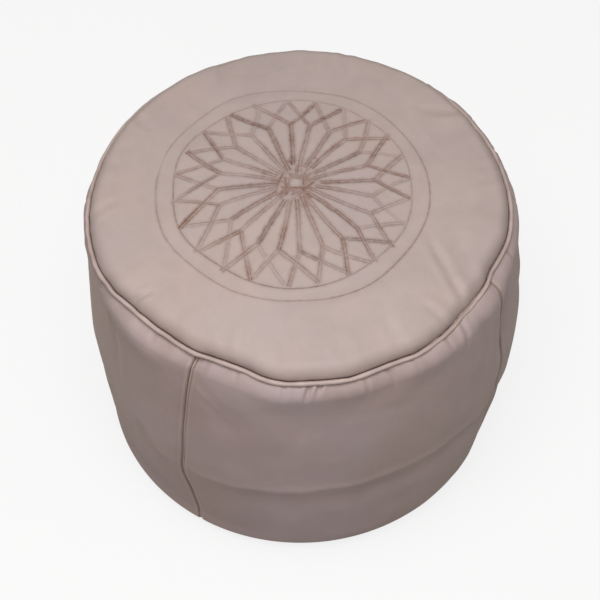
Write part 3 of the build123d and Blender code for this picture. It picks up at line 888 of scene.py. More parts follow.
# %% The crown's section and relief
JOIN_RING = 156 * mm  # the tooled disc ends here and the plain rows begin
DISC_EDGE = 720
dome_height = crown_top - crown_radius
shoulder_angle = math.degrees(math.atan2(crown_seam - dome_height, shoulder_centre))
join_angle = math.degrees(math.acos(JOIN_RING / crown_radius))
crown_points, crown_outs, crown_down = join_runs(
    arc_run((0, dome_height), crown_radius, join_angle, shoulder_angle, 2.3 * mm),
    arc_run((shoulder_centre, crown_seam), SHOULDER_ROLL, shoulder_angle, 0, 1.5 * mm),
    straight_run((crown_edge, crown_seam), (crown_edge - ALLOWANCE, crown_seam), (1, 0), 3 * mm),
)
# Folds on the crown: start and end as (mm out, azimuth), width and depth in millimetres
CROWN_FOLDS = [
    ((146, 53), (214, 38), 5.0, 1.7), ((170, 62), (216, 45), 7, 0.5),
    ((203, -63.5), (228, -66.5), 3.0, 1.9), ((186, -20), (222, -17), 5, 0.8),
    ((182, -3), (222, -1), 6, 0.9), ((178, 14), (220, 13), 6, 0.9),
    ((190, 27), (222, 28), 5, 1.1), ((190, -38), (220, -35), 6, 0.9),
    ((196, 80), (222, 84), 5, 1.0), ((176, 118), (220, 110), 6, 1.3),
    ((188, 150), (220, 152), 5, 1.1), ((180, 196), (220, 190), 6, 1.2),
    ((186, 228), (220, 224), 5, 1.2), ((190, 258), (220, 262), 5, 1.0),
]
crown_lumps = soft_field(31, 30 * mm, 30 * mm)
crown_flutes = soft_field(32, 8 * mm, 60 * mm)


def plan_line(points, start, end, width, depth):
    """A soft fold along a line of the crown's plan."""
    a, b = (polar(np.zeros(2), s[0] * mm, s[1]) for s in (start, end))
    run = b - a
    along = ((points - a) @ run) / (run @ run)
    side = np.abs((points - a) @ np.array([run[1], -run[0]])) / np.linalg.norm(run)
    fade = ease(along, -0.1, 0.45) * (1 - ease(along, 0.9, 1.25))
    lips = bump(side - 2 * width * mm, width * mm)
    return fade * depth * mm * (0.35 * lips - 0.8 * bump(side, width * mm))


def crown_relief(points):
    """How far the crown stands out from its dome, at points of its plan."""
    radius = np.linalg.norm(points, axis=1)
    azimuth = np.degrees(np.arctan2(points[:, 0], -points[:, 1]))
    far = radius / crown_edge
    lumpy = ease(radius, 30 * mm, 100 * mm)
    relief = 1.1 * mm * read_field(crown_lumps, azimuth, radius) * lumpy
    relief += 0.55 * mm * read_field(crown_flutes, azimuth, ROUND_ROW) * ease(far, 0.74, 0.95)
    for fold in CROWN_FOLDS:
        relief += plan_line(points, *fold)
    return relief * (1 - ease(far, 0.985, 1.01))


CROWN_STEADY = 130 * mm  # nearer the middle than this the crown doesn't follow the seam
CROWN_LEVEL = 170 * mm  # nor does it rise or fall with the seam this near the middle


def place_crown(radius, height, azimuth):
    """Draws the crown's outer part in or out, so that its edge meets the wavy seam."""
    pull = ease(radius, CROWN_STEADY, crown_edge)
    radius = radius + pull * seam_shift(azimuth)
    height = height + ease(radius, CROWN_LEVEL, crown_edge) * seam_lift(azimuth)
    turn = np.radians(azimuth)
    return np.stack([radius * np.sin(turn), -radius * np.cos(turn), height], -1)


# %% Triangulate the tooled disc
def fill_points(spacing, clear, centre, reach):
    """A staggered grid over a disc that keeps clear of the grooves."""
    count = int(reach / spacing) + 1
    x, y = np.meshgrid(np.arange(-count, count + 1), np.arange(-count, count + 1))
    grid = np.stack([(x + 0.5 * (y % 2)) * spacing, y * spacing * 0.87], -1).reshape(-1, 2)
    grid = grid[np.linalg.norm(grid, axis=1) < reach] + centre
    near = np.zeros(len(grid), bool)
    corners = np.array(mesh_points)
    for first in range(0, len(grid), 1000):
        gap = np.linalg.norm(grid[first : first + 1000, None, :] - corners, axis=2)
        near[first : first + 1000] = gap.min(1) < clear
    return grid[~near]


edge_azimuth = np.arange(DISC_EDGE) * 360 / DISC_EDGE
disc_edge = np.stack([polar(np.zeros(2), JOIN_RING, a) for a in edge_azimuth])
HUB_AREA = 32 * mm  # the short strokes round the hub need finer triangles
fill = fill_points(3.0 * mm, 1.5 * mm, np.zeros(2), JOIN_RING - 1.8 * mm)
hub_fill = fill_points(1.4 * mm, 0.6 * mm, HUB_CENTRE, HUB_AREA)
fill = fill[np.linalg.norm(fill - HUB_CENTRE, axis=1) > HUB_AREA + 1 * mm]
all_points = np.concatenate([np.array(mesh_points), disc_edge, fill, hub_fill])
edge_first = len(mesh_points)
edge_lines = [(edge_first + i, edge_first + (i + 1) % DISC_EDGE) for i in range(DISC_EDGE)]
disc_points = [Vector(p) for p in all_points.tolist()]
disc = delaunay_2d_cdt(disc_points, mesh_lines + edge_lines, [], 0, 1e-6)
disc_plan = np.array([tuple(p) for p in disc[0]])
disc_faces = np.array([list(face) for face in disc[2]])
came_from = {old: new for new, olds in enumerate(disc[3]) for old in olds}
edge_index = np.array([came_from[edge_first + i] for i in range(DISC_EDGE)])
print("tooled disc:", len(disc_plan), "points,", len(disc_faces), "triangles")


# %% Build the crown: tooled disc, plain rows and a coarse underside
CROWN_THICKNESS = 2.6 * mm  # leather and the roughness of its flesh side
UNDER_STEP = 4  # the underside has one column for this many above it


def crown_leather():
    groove, stain, red = tooling(disc_plan)
    radius = np.linalg.norm(disc_plan, axis=1)
    azimuth = np.degrees(np.arctan2(disc_plan[:, 0], -disc_plan[:, 1]))
    height = dome_height + np.sqrt(crown_radius**2 - radius**2)
    height = height + crown_relief(disc_plan) - GROOVE_DEPTH * groove
    disc_space = place_crown(radius, height, azimuth)
    from_hub = np.linalg.norm(disc_plan - HUB_CENTRE, axis=1)
    hub = bump(from_hub, 26 * mm)
    dot = bump(from_hub, 6 * mm)
    disc_marks = leather_marks(stain, red, 0.38 * hub * (1 - dot), 0 * stain)

    rows = len(crown_points) - 1
    down = crown_down[1:]
    grid_azimuth = np.repeat(edge_azimuth[None, :], rows, 0)
    out = np.repeat(crown_points[1:, :1], DISC_EDGE, 1)
    turn = np.radians(grid_azimuth)
    plan = np.stack([out * np.sin(turn), -out * np.cos(turn)], -1).reshape(-1, 2)
    push = crown_relief(plan).reshape(rows, DISC_EDGE)
    push *= 1 - ease(down, crown_down[-1] - 20 * mm, crown_down[-1] - ALLOWANCE)[:, None]
    out = out + crown_outs[1:, :1] * push
    high = crown_points[1:, 1:] + crown_outs[1:, 1:] * push
    row_space = place_crown(out, high, grid_azimuth)
    to_seam = (crown_down[-1] - ALLOWANCE - down)[:, None]
    # Painted shade: darker towards the seam, in the valley beside the piping
    dirt_and_shade = 0.46 * bump(to_seam, 3.6 * mm) + 0.2 * bump(to_seam, 12 * mm)
    patchy = 0.85 + 0.3 * read_field(crown_flutes, grid_azimuth, ROUND_ROW)
    dirt_and_shade = np.repeat(dirt_and_shade, DISC_EDGE, 1) * patchy
    wear = np.clip(push / (2 * mm), 0, 1) * 0.3
    row_marks = leather_marks(0 * dirt_and_shade, 0 * dirt_and_shade, dirt_and_shade, wear)

    first = len(disc_space)
    faces = [tuple(face) for face in disc_faces.tolist()]
    ring = [edge_index, *(first + DISC_EDGE * r + np.arange(DISC_EDGE) for r in range(rows))]
    for upper, lower in zip(ring[:-1], ring[1:]):
        following, after = np.roll(upper, -1), np.roll(lower, -1)
        faces.extend(np.stack([upper, lower, after, following], 1).tolist())

    under_columns = DISC_EDGE // UNDER_STEP
    inner = np.linspace(JOIN_RING, 0, 24)[1:-1]
    inner = np.stack([inner, dome_height + np.sqrt(crown_radius**2 - inner**2)], 1)
    under_section = np.concatenate([crown_points[:-1:3][::-1], inner])
    under_azimuth = np.repeat(edge_azimuth[None, ::UNDER_STEP], len(under_section), 0)
    under_out = np.repeat(under_section[:, :1], under_columns, 1)
    under_out = np.minimum(under_out, crown_edge - LEATHER)
    turn = np.radians(under_azimuth)
    plan = np.stack([under_out * np.sin(turn), -under_out * np.cos(turn)], -1).reshape(-1, 2)
    drop = crown_relief(plan).reshape(under_out.shape)
    under_high = np.repeat(under_section[:, 1:], under_columns, 1)
    under_high = under_high + np.minimum(drop, 0) - CROWN_THICKNESS
    under_high = np.maximum(under_high, crown_seam + LEATHER)
    under_space = place_crown(under_out, under_high, under_azimuth).reshape(-1, 3)
    under_first = first + rows * DISC_EDGE
    under_faces = grid_faces(len(under_section), under_columns, True, first=under_first)
    faces.extend(under_faces.tolist())
    middle = under_first + len(under_space)
    last = under_first + (len(under_section) - 1) * under_columns + np.arange(under_columns)
    faces.extend((int(a), int(b), middle) for a, b in zip(last, np.roll(last, -1)))
    for column in range(under_columns):
        here, there = under_first + column, under_first + (column + 1) % under_columns
        outer = [ring[-1][(column * UNDER_STEP + i) % DISC_EDGE] for i in range(UNDER_STEP + 1)]
        faces.extend((int(a), here, int(b)) for a, b in zip(outer[:2], outer[1:3]))
        faces.append((int(outer[2]), here, there))
        faces.extend((int(a), there, int(b)) for a, b in zip(outer[2:4], outer[3:5]))

    centre = np.array([[0, 0, crown_top - CROWN_THICKNESS]])
    space = np.concatenate([disc_space, row_space.reshape(-1, 3), under_space, centre])
    plain = np.zeros((len(under_space) + 1, 4))
    marks = np.concatenate([disc_marks, row_marks.reshape(-1, 4), plain])
    piece = make_piece("crown_leather", space, faces, marks)
    return finish_piece(piece, "crown_leather", replaces=["top_panel"])


crown = crown_leather()
print("crown:", len(crown.data.polygons), "faces")

# %% [markdown]
# ## The base
# The base is two half discs of the same leather, sewn to the zip along the middle and to
# each other past its ends. Its pattern is drawn flat and then folded: past the floor's edge
# it rolls up to the base seam, and inside the zip's window it turns up to meet the tape.
# Drawing flat and folding later is how the maker works too, and it keeps corners closed.

# %% Plan of one half
window_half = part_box("zip_threads")[1].x
tape_low, tape_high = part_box("zip_tape_back")
WINDOW_WIDTH_HALF = 11 * mm
WALL = tape_low.z  # the leather turns up this far to the tape
HALF_GAP = 0.2 * mm
flat_edge = base_edge - BASE_ROLL
ROLL_RUN = BASE_ROLL * math.pi / 2
pattern_edge = flat_edge + ROLL_RUN + 9 * mm
base_lumps = soft_field(41, 20 * mm, 20 * mm)


def base_outline(spacing):
    """The boundary of one half's pattern on the +Y side, in order."""
    inner = [(x, HALF_GAP) for x in np.arange(pattern_edge - 1 * mm, window_half, -spacing)]
    inner += [(x, HALF_GAP) for x in np.arange(window_half, -window_half, -spacing)]
    inner += [(x, HALF_GAP) for x in np.arange(-window_half, -pattern_edge + 1 * mm, -spacing)]
    turn = np.radians(np.arange(180, 0, -math.degrees(spacing / pattern_edge)))
    start = math.asin(HALF_GAP / pattern_edge)
    turn = turn[(turn > start) & (turn < math.pi - start)]
    outer = [(pattern_edge * math.cos(t), pattern_edge * math.sin(t)) for t in turn]
    return np.array(inner + outer)


def fold_base(plan, side):
    """Folds points of the flat pattern into place. side is 1 for the back, -1 for the front."""
    x, y = plan[:, 0], plan[:, 1]
    radius = np.hypot(x, y)
    past = np.clip(radius - flat_edge, 0, None)
    roll = np.clip(past / BASE_ROLL, 0, math.pi / 2)
    inward = np.clip(past - ROLL_RUN, 0, None)
    new_radius = np.minimum(radius, flat_edge) + BASE_ROLL * np.sin(roll) - inward
    z = BASE_ROLL * (1 - np.cos(roll))
    scale = new_radius / np.maximum(radius, 1e-6)
    x, y = x * scale, y * scale
    into = np.minimum(window_half - np.abs(plan[:, 0]), WINDOW_WIDTH_HALF - y)
    inside = (into > 0) & (np.abs(plan[:, 0]) < window_half)
    into = np.where(inside, into, 0)
    side_wall = inside & (window_half - np.abs(plan[:, 0]) > WINDOW_WIDTH_HALF - y)
    end_wall = inside & ~side_wall
    y = np.where(side_wall, WINDOW_WIDTH_HALF, y)
    x = np.where(end_wall, np.sign(x) * window_half, x)
    z = np.where(inside, np.minimum(into, WALL), z)
    azimuth = np.degrees(np.arctan2(x, -y * side))
    sag = 0.9 * mm * np.clip(read_field(base_lumps, azimuth, radius), 0, 1)
    edge = np.minimum(np.abs(y - WINDOW_WIDTH_HALF), flat_edge - new_radius)
    pucker = 0.5 * mm * (0.5 + 0.5 * np.sin(x * 900)) * bump(y - WINDOW_WIDTH_HALF - 3 * mm, 5 * mm)
    z = z + np.where(inside, 0, (sag + pucker) * ease(edge, 0, 8 * mm))
    return np.stack([x, y * side, z], 1), inside, new_radius


# %% Build both halves
def base_leather(name, side):
    outline = base_outline(2.5 * mm)
    spacing = 3.2 * mm
    reach = int(pattern_edge / spacing) + 1
    x, y = np.meshgrid(np.arange(-reach, reach + 1), np.arange(0, reach + 2))
    x, y = (x + 0.5 * (y % 2)) * spacing, y * spacing * 0.87 + 1.5 * mm
    inner = np.stack([x, y], -1).reshape(-1, 2)
    inner = inner[np.linalg.norm(inner, axis=1) < pattern_edge - 2 * mm]
    along = np.arange(-window_half, window_half + 1e-6, 2.5 * mm)
    long_edge = [(a, WINDOW_WIDTH_HALF + off) for off in (-0.4 * mm, 0.4 * mm) for a in along]
    short_edge = [(s * (window_half + off), b) for s in (-1, 1) for off in (-0.4 * mm, 0.4 * mm)
                  for b in np.arange(1.2 * mm, WINDOW_WIDTH_HALF, 1.6 * mm)]
    plan = np.concatenate([outline, inner, np.array(long_edge), np.array(short_edge)])
    rim = [(i, (i + 1) % len(outline)) for i in range(len(outline))]
    cut = delaunay_2d_cdt([Vector(p) for p in plan.tolist()], rim, [], 1, 1e-6)
    plan = np.array([tuple(p) for p in cut[0]])
    space, inside, radius = fold_base(plan, side)
    faces = np.array([list(f) for f in cut[2]])
    if side > 0:
        faces = faces[:, ::-1]
    from_wall = np.abs(plan[:, 1] - WINDOW_WIDTH_HALF) + 9 * (np.abs(plan[:, 0]) > window_half)
    # Darker inside the zip's window, along its edge, along the join between the halves and at the
    # rim: painted shade in the window and the join
    dirt_and_shade = 0.7 * bump(from_wall, 3 * mm) + 0.5 * inside + 0.6 * bump(base_edge - radius, 3 * mm)
    dirt_and_shade = dirt_and_shade + 0.5 * bump(plan[:, 1], 3 * mm)
    scuff = 0.7 * bump(radius - flat_edge, 9 * mm) + 0.2
    marks = leather_marks(0 * dirt_and_shade, 0 * dirt_and_shade, dirt_and_shade, scuff)
    piece = make_piece(f"base_leather_{name}", space, faces, marks)
    thicken(piece, LEATHER)
    return finish_piece(piece, "base_leather", replaces=[f"base_panel_{name}"])


base_pieces = [base_leather("back", 1), base_leather("front", -1)]
print("base halves:", [len(p.data.polygons) for p in base_pieces], "faces each")

# %% [markdown]
# ## Stitches
# A lockstitch seam shows a dash of waxed thread on each side of the leather. Each dash is
# a small capsule that dips into its holes. One template is copied along a path, which is
# how the thread would be modelled in any seam: path first, then equal steps along it.

# %% Stitch helper
STITCH = 5.0 * mm
STITCH_GAP = 1.6 * mm
THREAD_RADIUS = 0.38 * mm


def stitches_along(path, up, closed):
    """Points and faces of equal stitches along a path, with a direction that is up for each."""
    ends = np.concatenate([path, path[:1]]) if closed else path
    ups = np.concatenate([up, up[:1]]) if closed else up
    run = np.concatenate([[0], np.cumsum(np.linalg.norm(np.diff(ends, axis=0), axis=1))])
    count = int(run[-1] / (STITCH + STITCH_GAP))
    pitch = run[-1] / count
    # The rings of one stitch: place along it, thickness, and how deep it dips at its ends
    stations = np.array([0, 0.08, 0.3, 0.5, 0.7, 0.92, 1.0]) * (pitch - STITCH_GAP)
    thick = np.array([0.35, 0.85, 1, 1.05, 1, 0.85, 0.35]) * THREAD_RADIUS
    sink = np.array([1.3, 0.5, 0.05, 0, 0.05, 0.5, 1.3]) * THREAD_RADIUS
    places = (np.arange(count)[:, None] * pitch + STITCH_GAP / 2 + stations).ravel()
    at = np.stack([np.interp(places, run, ends[:, k]) for k in range(3)], 1)
    rise = np.stack([np.interp(places, run, ups[:, k]) for k in range(3)], 1)
    rise /= np.linalg.norm(rise, axis=1)[:, None]
    ahead = np.stack([np.interp(places + 0.5 * mm, run, ends[:, k]) for k in range(3)], 1)
    back = np.stack([np.interp(places - 0.5 * mm, run, ends[:, k]) for k in range(3)], 1)
    way = ahead - back
    way /= np.linalg.norm(way, axis=1)[:, None]
    across = np.cross(way, rise)
    thick, sink = np.tile(thick, count)[:, None], np.tile(sink, count)[:, None]
    at = at - rise * sink
    corners = 6
    turn = np.arange(corners) * 2 * math.pi / corners
    rings = [at + thick * (across * math.cos(t) + rise * math.sin(t)) for t in turn]
    points = np.stack(rings, 1).reshape(-1, 3)
    per = len(stations)
    one = grid_faces(per, corners, wrap_columns=True)
    faces = [one + i * per * corners for i in range(count)]
    caps = []
    for i in range(count):
        first = i * per * corners
        caps.append(list(range(first, first + corners)))
        last = first + (per - 1) * corners
        caps.append(list(range(last, last + corners))[::-1])
    return points, np.concatenate(faces).tolist() + caps


def stitched_piece(name, runs, replaces):
    """One piece from several runs of stitches: (path, up, closed)."""
    points, faces, first = [], [], 0
    for path, up, closed in runs:
        more, ring = stitches_along(path, up, closed)
        points.append(more)
        faces.extend([[corner + first for corner in face] for face in ring])
        first += len(more)
    piece = make_piece(name, np.concatenate(points), faces)
    return finish_piece(piece, "sewing_thread", replaces=replaces)


# %% Sew the seams
def ring_path(inset, height, follow):
    """A ring of stitches inside the top seam (follow is 1) or the base seam (follow is 0)."""
    azimuth = np.arange(0, 360, 1.0)
    ring = (piping_ring if follow else base_edge) - inset + follow * seam_shift(azimuth)
    lift = follow * seam_lift(azimuth)
    turn = np.radians(azimuth)
    return np.stack([ring * np.sin(turn), -ring * np.cos(turn), height + lift], 1)


def upright(path, way):
    return np.tile(np.array([0, 0, way], float), (len(path), 1))


PROUD = 0.4 * mm  # a thread's middle lies this far off the leather
TOP_STITCH_INSET, BASE_STITCH_INSET = 10.5 * mm, 6 * mm
top_under = ring_path(TOP_STITCH_INSET, side_top - LEATHER - PROUD, 1)
top_over = ring_path(TOP_STITCH_INSET, crown_seam + LEATHER + PROUD, 1)
stitched_piece("top_seam_stitches", [(top_under, upright(top_under, -1), True),
                                     (top_over, upright(top_over, 1), True)], ["top_seam_thread"])
base_under = ring_path(BASE_STITCH_INSET, side_low - LEATHER - PROUD, 0)
base_over = ring_path(BASE_STITCH_INSET, side_low + LEATHER + PROUD, 0)
stitched_piece("base_seam_stitches", [(base_under, upright(base_under, -1), True),
                                      (base_over, upright(base_over, 1), True)],
               ["base_seam_thread"])


def side_seam_run(name, side):
    """The stitches on one side of a side seam, 6 mm in from the leather's face."""
    keep = (side_down > 12 * mm) & (side_down < side_down[-1] - 24 * mm)
    down = side_down[keep]
    centre = seam_line(name, down)
    offset = side * (WELT_HALF + LEATHER + PROUD)
    azimuth = centre + np.degrees(offset / side_points[keep, 0])
    push = side_relief(centre, down) * quiet_ends(down) - 6 * mm
    path = place_side(azimuth, side_points[keep], side_outs[keep], down, push)
    turn = np.radians(centre)
    return path, side * np.stack([np.cos(turn), np.sin(turn), 0 * turn], 1), False


stitched_piece("side_seam_stitches", [side_seam_run(name, side) for name in SEAM_AZIMUTHS
                                      for side in (-1, 1)], ["side_seam_threads"])


def zip_run(row, side, height, way):
    x = np.linspace(-window_half, window_half, 200)
    path = np.stack([x, np.full_like(x, side * row), np.full_like(x, height)], 1)
    return path, upright(path, way), False


zip_rows = [WINDOW_WIDTH_HALF + 13 * mm * share for share in (0.3, 0.7)]
zip_faces = ((WALL - LEATHER - PROUD, -1), (tape_high.z + PROUD, 1))
stitched_piece("zip_stitches", [zip_run(row, side, height, way) for row in zip_rows
                                for side in (-1, 1) for height, way in zip_faces], ["zip_threads"])
print("stitches sewn")

# %% [markdown]
# ## The stuffing
# Under the leather lie the soft parts that give the pouf its form: a wadded ring, a crown
# pad, a base pad, and a cotton bag of fibre. They are turned sections like the panels, with
# lumps pressed into them, and they follow the leather's dents so that nothing pokes through.

# %% A closed section turned round the axis
def turned_piece(name, section, columns, shape):
    """section is (radius, height) points in order. shape(azimuth, radius, height) moves them."""
    azimuth = np.repeat((np.arange(columns) * 360 / columns)[None, :], len(section), 0)
    radius = np.repeat(section[:, :1], columns, 1)
    height = np.repeat(section[:, 1:], columns, 1)
    radius, height = shape(azimuth, radius, height)
    turn = np.radians(azimuth)
    points = np.stack([radius * np.sin(turn), -radius * np.cos(turn), height], -1)
    closed_on_axis = section[0, 0] < 1e-6
    faces = grid_faces(len(section), columns, True, not closed_on_axis)
    return make_piece(name, points, faces)


def resample(points, spacing):
    """Evenly spaced points along a polyline."""
    points = np.array(points, float)
    run = np.concatenate([[0], np.cumsum(np.linalg.norm(np.diff(points, axis=0), axis=1))])
    place = np.linspace(0, run[-1], int(run[-1] / spacing) + 1)
    return np.stack([np.interp(place, run, points[:, k]) for k in range(2)], 1)


fluff = soft_field(51, 9 * mm, 9 * mm)
WADDING = 12 * mm
AIR = 0.6 * mm


def settle(azimuth, radius, height):
    """Moves inner soft parts with the leather: the side's lean and the top seam's wave."""
    down = np.interp(-height, -side_points[:, 1], side_down)
    shift = lean(azimuth, down) * quiet_ends(down) + follow_seam(down) * seam_shift(azimuth)
    tuck = 0.8 * shoulder_ease(azimuth, down) + 2 * mm
    return radius + np.minimum(shift - tuck, 0.8 * shift) * radius / body_radius


# %% Wadding round the side
WADDING_COLUMNS = 480


def side_wadding():
    points, outs, down = side_section(6 * mm, LEATHER + AIR)
    keep = (down > 16 * mm) & (down < down[-1] - 22 * mm)
    points, outs, down = points[keep], outs[keep], down[keep]
    columns = WADDING_COLUMNS
    azimuth = np.repeat((np.arange(columns) * 360 / columns)[None, :], len(points), 0)
    length = np.repeat(down[:, None], columns, 1)
    relief = (side_relief(azimuth, length) + dip_at(azimuth, length)) * quiet_ends(length)
    notch = 0
    for seam in SEAM_AZIMUTHS:
        away = np.radians((azimuth - seam_line(seam, length) + 180) % 360 - 180) * body_radius
        notch = notch + 11 * mm * np.exp(-((away / (6 * mm)) ** 4))
    push = relief - notch - 0.7 * mm * (1 + read_field(fluff, azimuth, length))
    outer = place_side(azimuth, points[:, None], outs[:, None], length, push)
    steady = lean(azimuth, length) * quiet_ends(length)
    inner_push = np.minimum(steady - WADDING + 2 * mm, push - 1 * mm)
    inner = place_side(azimuth, points[:, None], outs[:, None], length, inner_push)
    both = np.concatenate([outer, inner[::-1]])
    faces = grid_faces(len(both), columns, True, True)[:, ::-1]
    piece = make_piece("side_stuffing", both, faces)
    return finish_piece(piece, "wadding", replaces=["side_wadding"])


wadding_piece = side_wadding()


# %% Crown pad
PAD_DOME_EDGE = 196 * mm  # radius at which the pad leaves the crown's dome
PAD_EDGE = 209 * mm  # its widest, above the step that rests on the seam
PAD_LOW_EDGE = 198 * mm  # and under that step


def crown_pad():
    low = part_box("crown_pad")[0].z
    dome = [(r, dome_height + math.sqrt(crown_radius**2 - r**2) - LEATHER - 2 * mm)
            for r in np.linspace(0, PAD_DOME_EDGE, 40)]
    step = crown_seam + LEATHER + 2.5 * mm
    section = dome + [(PAD_EDGE - 3 * mm, dome[-1][1] - 3 * mm), (PAD_EDGE, step + 5 * mm),
                      (PAD_EDGE - 2 * mm, step), (PAD_LOW_EDGE + 2 * mm, step),
                      (PAD_LOW_EDGE, step - 3 * mm), (PAD_LOW_EDGE, low + 3 * mm),
                      (PAD_LOW_EDGE - 4 * mm, low)]
    section += [(r, low) for r in np.linspace(180 * mm, 0, 20)]
    section = resample(section, 6 * mm)

    def lumpy(azimuth, radius, height):
        upper = ease(height, step, step + 6 * mm)
        plan = np.stack([radius * np.sin(np.radians(azimuth)),
                         -radius * np.cos(np.radians(azimuth))], -1).reshape(-1, 2)
        dent = np.minimum(crown_relief(plan).reshape(radius.shape), 0)
        soft = 0.8 * mm * (read_field(fluff, azimuth, radius) - 1)
        pull = ease(radius, CROWN_STEADY, crown_edge) * np.minimum(seam_shift(azimuth), 0)
        return radius + pull * ease(radius, 100 * mm, 200 * mm), height + (dent + soft) * upper

    piece = turned_piece("crown_stuffing", section, 300, lumpy)
    return finish_piece(piece, "wadding", replaces=["crown_pad"])


crown_pad_piece = crown_pad()

# %% Base pad, with a channel over the zip
base_pad_low, base_pad_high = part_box("base_pad")


def base_pad():
    edge, low, high = base_pad_high.x, base_pad_low.z, base_pad_high.z
    section = [(0, low), (edge - 3 * mm, low), (edge, low + 3 * mm), (edge, high - 3 * mm),
               (edge - 3 * mm, high), (0, high)]
    section = resample(section, 5 * mm)
    channel_half = 25.5 * mm
    ceiling = high - 7 * mm

    def lumpy(azimuth, radius, height):
        soft = 0.7 * mm * (1 - read_field(fluff, azimuth, radius))
        across = np.abs(radius * np.cos(np.radians(azimuth)))
        over = 1 - ease(across, channel_half, channel_half + 6 * mm)
        lower = 1 - ease(height, low + 4 * mm, high - 4 * mm)
        raised = np.maximum(height, ceiling)
        height = height + (raised - height) * over * (lower > 0.5)
        soft_low = np.where(lower > 0.5, soft + 0.8 * mm, -soft)
        return radius - 0.5 * mm, height + soft_low

    piece = turned_piece("base_stuffing", section, 260, lumpy)
    return finish_piece(piece, "wadding", replaces=["base_pad"])


base_pad_piece = base_pad()

# %% The fibre core and its cotton bag
bag_low, bag_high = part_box("inner_bag_side")
core_low, core_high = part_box("filling_core")
puckers = soft_field(52, 6 * mm, 26 * mm)


def corner_run(edge, height, corner, turn):
    """Points round a rounded corner whose centre is at this radius and height."""
    return [(edge + corner * math.cos(math.radians(t)), height + corner * math.sin(math.radians(t)))
            for t in turn]


def barrel_section(box_low, box_high, corner, shrink):
    """A rounded barrel inside a box: the bag's shape, from the axis round to the axis."""
    low, high = box_low.z + shrink, box_high.z - shrink
    taper = BARREL_TAPER * 0.8
    middle, half = (low + high) / 2, (high - low) / 2
    sides = [(box_high.x - shrink - taper * ((z - middle) / half) ** 2, z)
             for z in np.linspace(low + corner, high - corner, 30)]
    turn = np.linspace(-90, -10, 6)
    low_edge = sides[0][0] - corner
    top_edge = sides[-1][0] - corner
    under = corner_run(low_edge, low + corner, corner, turn)
    over = corner_run(top_edge, high - corner, corner, -turn[::-1])
    return low_edge, top_edge, under + sides[1:-1] + over


def filling_core():
    _, _, side = barrel_section(core_low, core_high, 7 * mm, 1.5 * mm)
    section = resample([(0, side[0][1])] + side + [(0, side[-1][1])], 7 * mm)

    def lumpy(azimuth, radius, height):
        radius = settle(azimuth, radius, height)
        return radius * (1 + 0.005 * (read_field(lumps, azimuth, height) - 1.5)), height

    piece = turned_piece("fibre_core", section, 220, lumpy)
    return finish_piece(piece, "filling_fibre", replaces=["filling_core"])


core_piece = filling_core()


BAG_HEM = 9 * mm  # the side runs this far under the bag's top and base
BAG_CLOTH = 0.6 * mm


def bag_side():
    low_edge, top_edge, side = barrel_section(bag_low, bag_high, 8 * mm, 0.3 * mm)
    low_hem, top_hem = (low_edge - BAG_HEM, side[0][1]), (top_edge - BAG_HEM, side[-1][1])
    outer = resample([low_hem] + side + [top_hem], 5 * mm)

    def puckered(azimuth, radius, height):
        seam = bump(height - bag_high.z, 40 * mm) + bump(height - bag_low.z, 40 * mm)
        fold = read_field(puckers, azimuth, height)
        return settle(azimuth, radius, height) - 0.9 * mm * seam * np.clip(fold, 0, 1), height

    inner = (outer - [BAG_CLOTH, 0])[::-1]
    piece = turned_piece("bag_side", np.concatenate([outer, inner]), 360, puckered)
    return finish_piece(piece, "bag_cotton", replaces=["inner_bag_side"])


bag_side()


def bag_disc(name, node):
    low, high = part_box(node)
    edge = high.x
    section = [(0, low.z), (edge, low.z), (edge, high.z), (0, high.z)]
    section = resample(section, 5 * mm)

    def puckered(azimuth, radius, height):
        fold = read_field(puckers, azimuth * 2, ROUND_ROW) * bump(radius - edge, 30 * mm)
        return settle(azimuth, radius, height), height + 0.12 * mm * fold

    piece = turned_piece(name, section, 240, puckered)
    return finish_piece(piece, "bag_cotton", replaces=[node])


bag_disc("bag_top", "inner_bag_top")
bag_disc("bag_base", "inner_bag_base")
print("stuffing made:", wadding_piece.name, crown_pad_piece.name, base_pad_piece.name,
      core_piece.name)

# %% [markdown]
# ## Materials: small tools
# Every finish is a Principled shader driven by procedural patterns. Patterns that more than
# one finish uses are node groups, built once: hide colour for the leather's uneven tone,
# grain for its pores, marks for stain, for dirt with painted shade, and for wear, and weave
# for cloth. A few helpers keep the node code short.

# %% Node helpers
def add_node(tree, kind, settings=None, **inputs):
    """A node with its settings, and values or links for its inputs. __ in a name is a space."""
    node = tree.nodes.new(kind)
    for key, value in (settings or {}).items():
        setattr(node, key, value)
    for key, value in inputs.items():
        set_input(tree, node.inputs[key.replace("__", " ")], value)
    return node


def set_input(tree, socket, value):
    if isinstance(value, bpy.types.NodeSocket):
        tree.links.new(value, socket)
    else:
        socket.default_value = value


def math_node(tree, operation, first, second=0.0, clamp=False):
    node = tree.nodes.new("ShaderNodeMath")
    node.operation = operation
    node.use_clamp = clamp
    set_input(tree, node.inputs[0], first)
    set_input(tree, node.inputs[1], second)
    return node.outputs[0]


def mix_colour(tree, share, first, second, blend="MIX"):
    node = tree.nodes.new("ShaderNodeMix")
    node.data_type = "RGBA"
    node.blend_type = blend
    set_input(tree, node.inputs[0], share)
    set_input(tree, node.inputs[6], first)
    set_input(tree, node.inputs[7], second)
    return node.outputs[2]


def remap(tree, value, low, high, new_low=0.0, new_high=1.0):
    node = tree.nodes.new("ShaderNodeMapRange")
    node.clamp = True
    for socket, number in zip(node.inputs, (value, low, high, new_low, new_high)):
        set_input(tree, socket, number)
    return node.outputs[0]


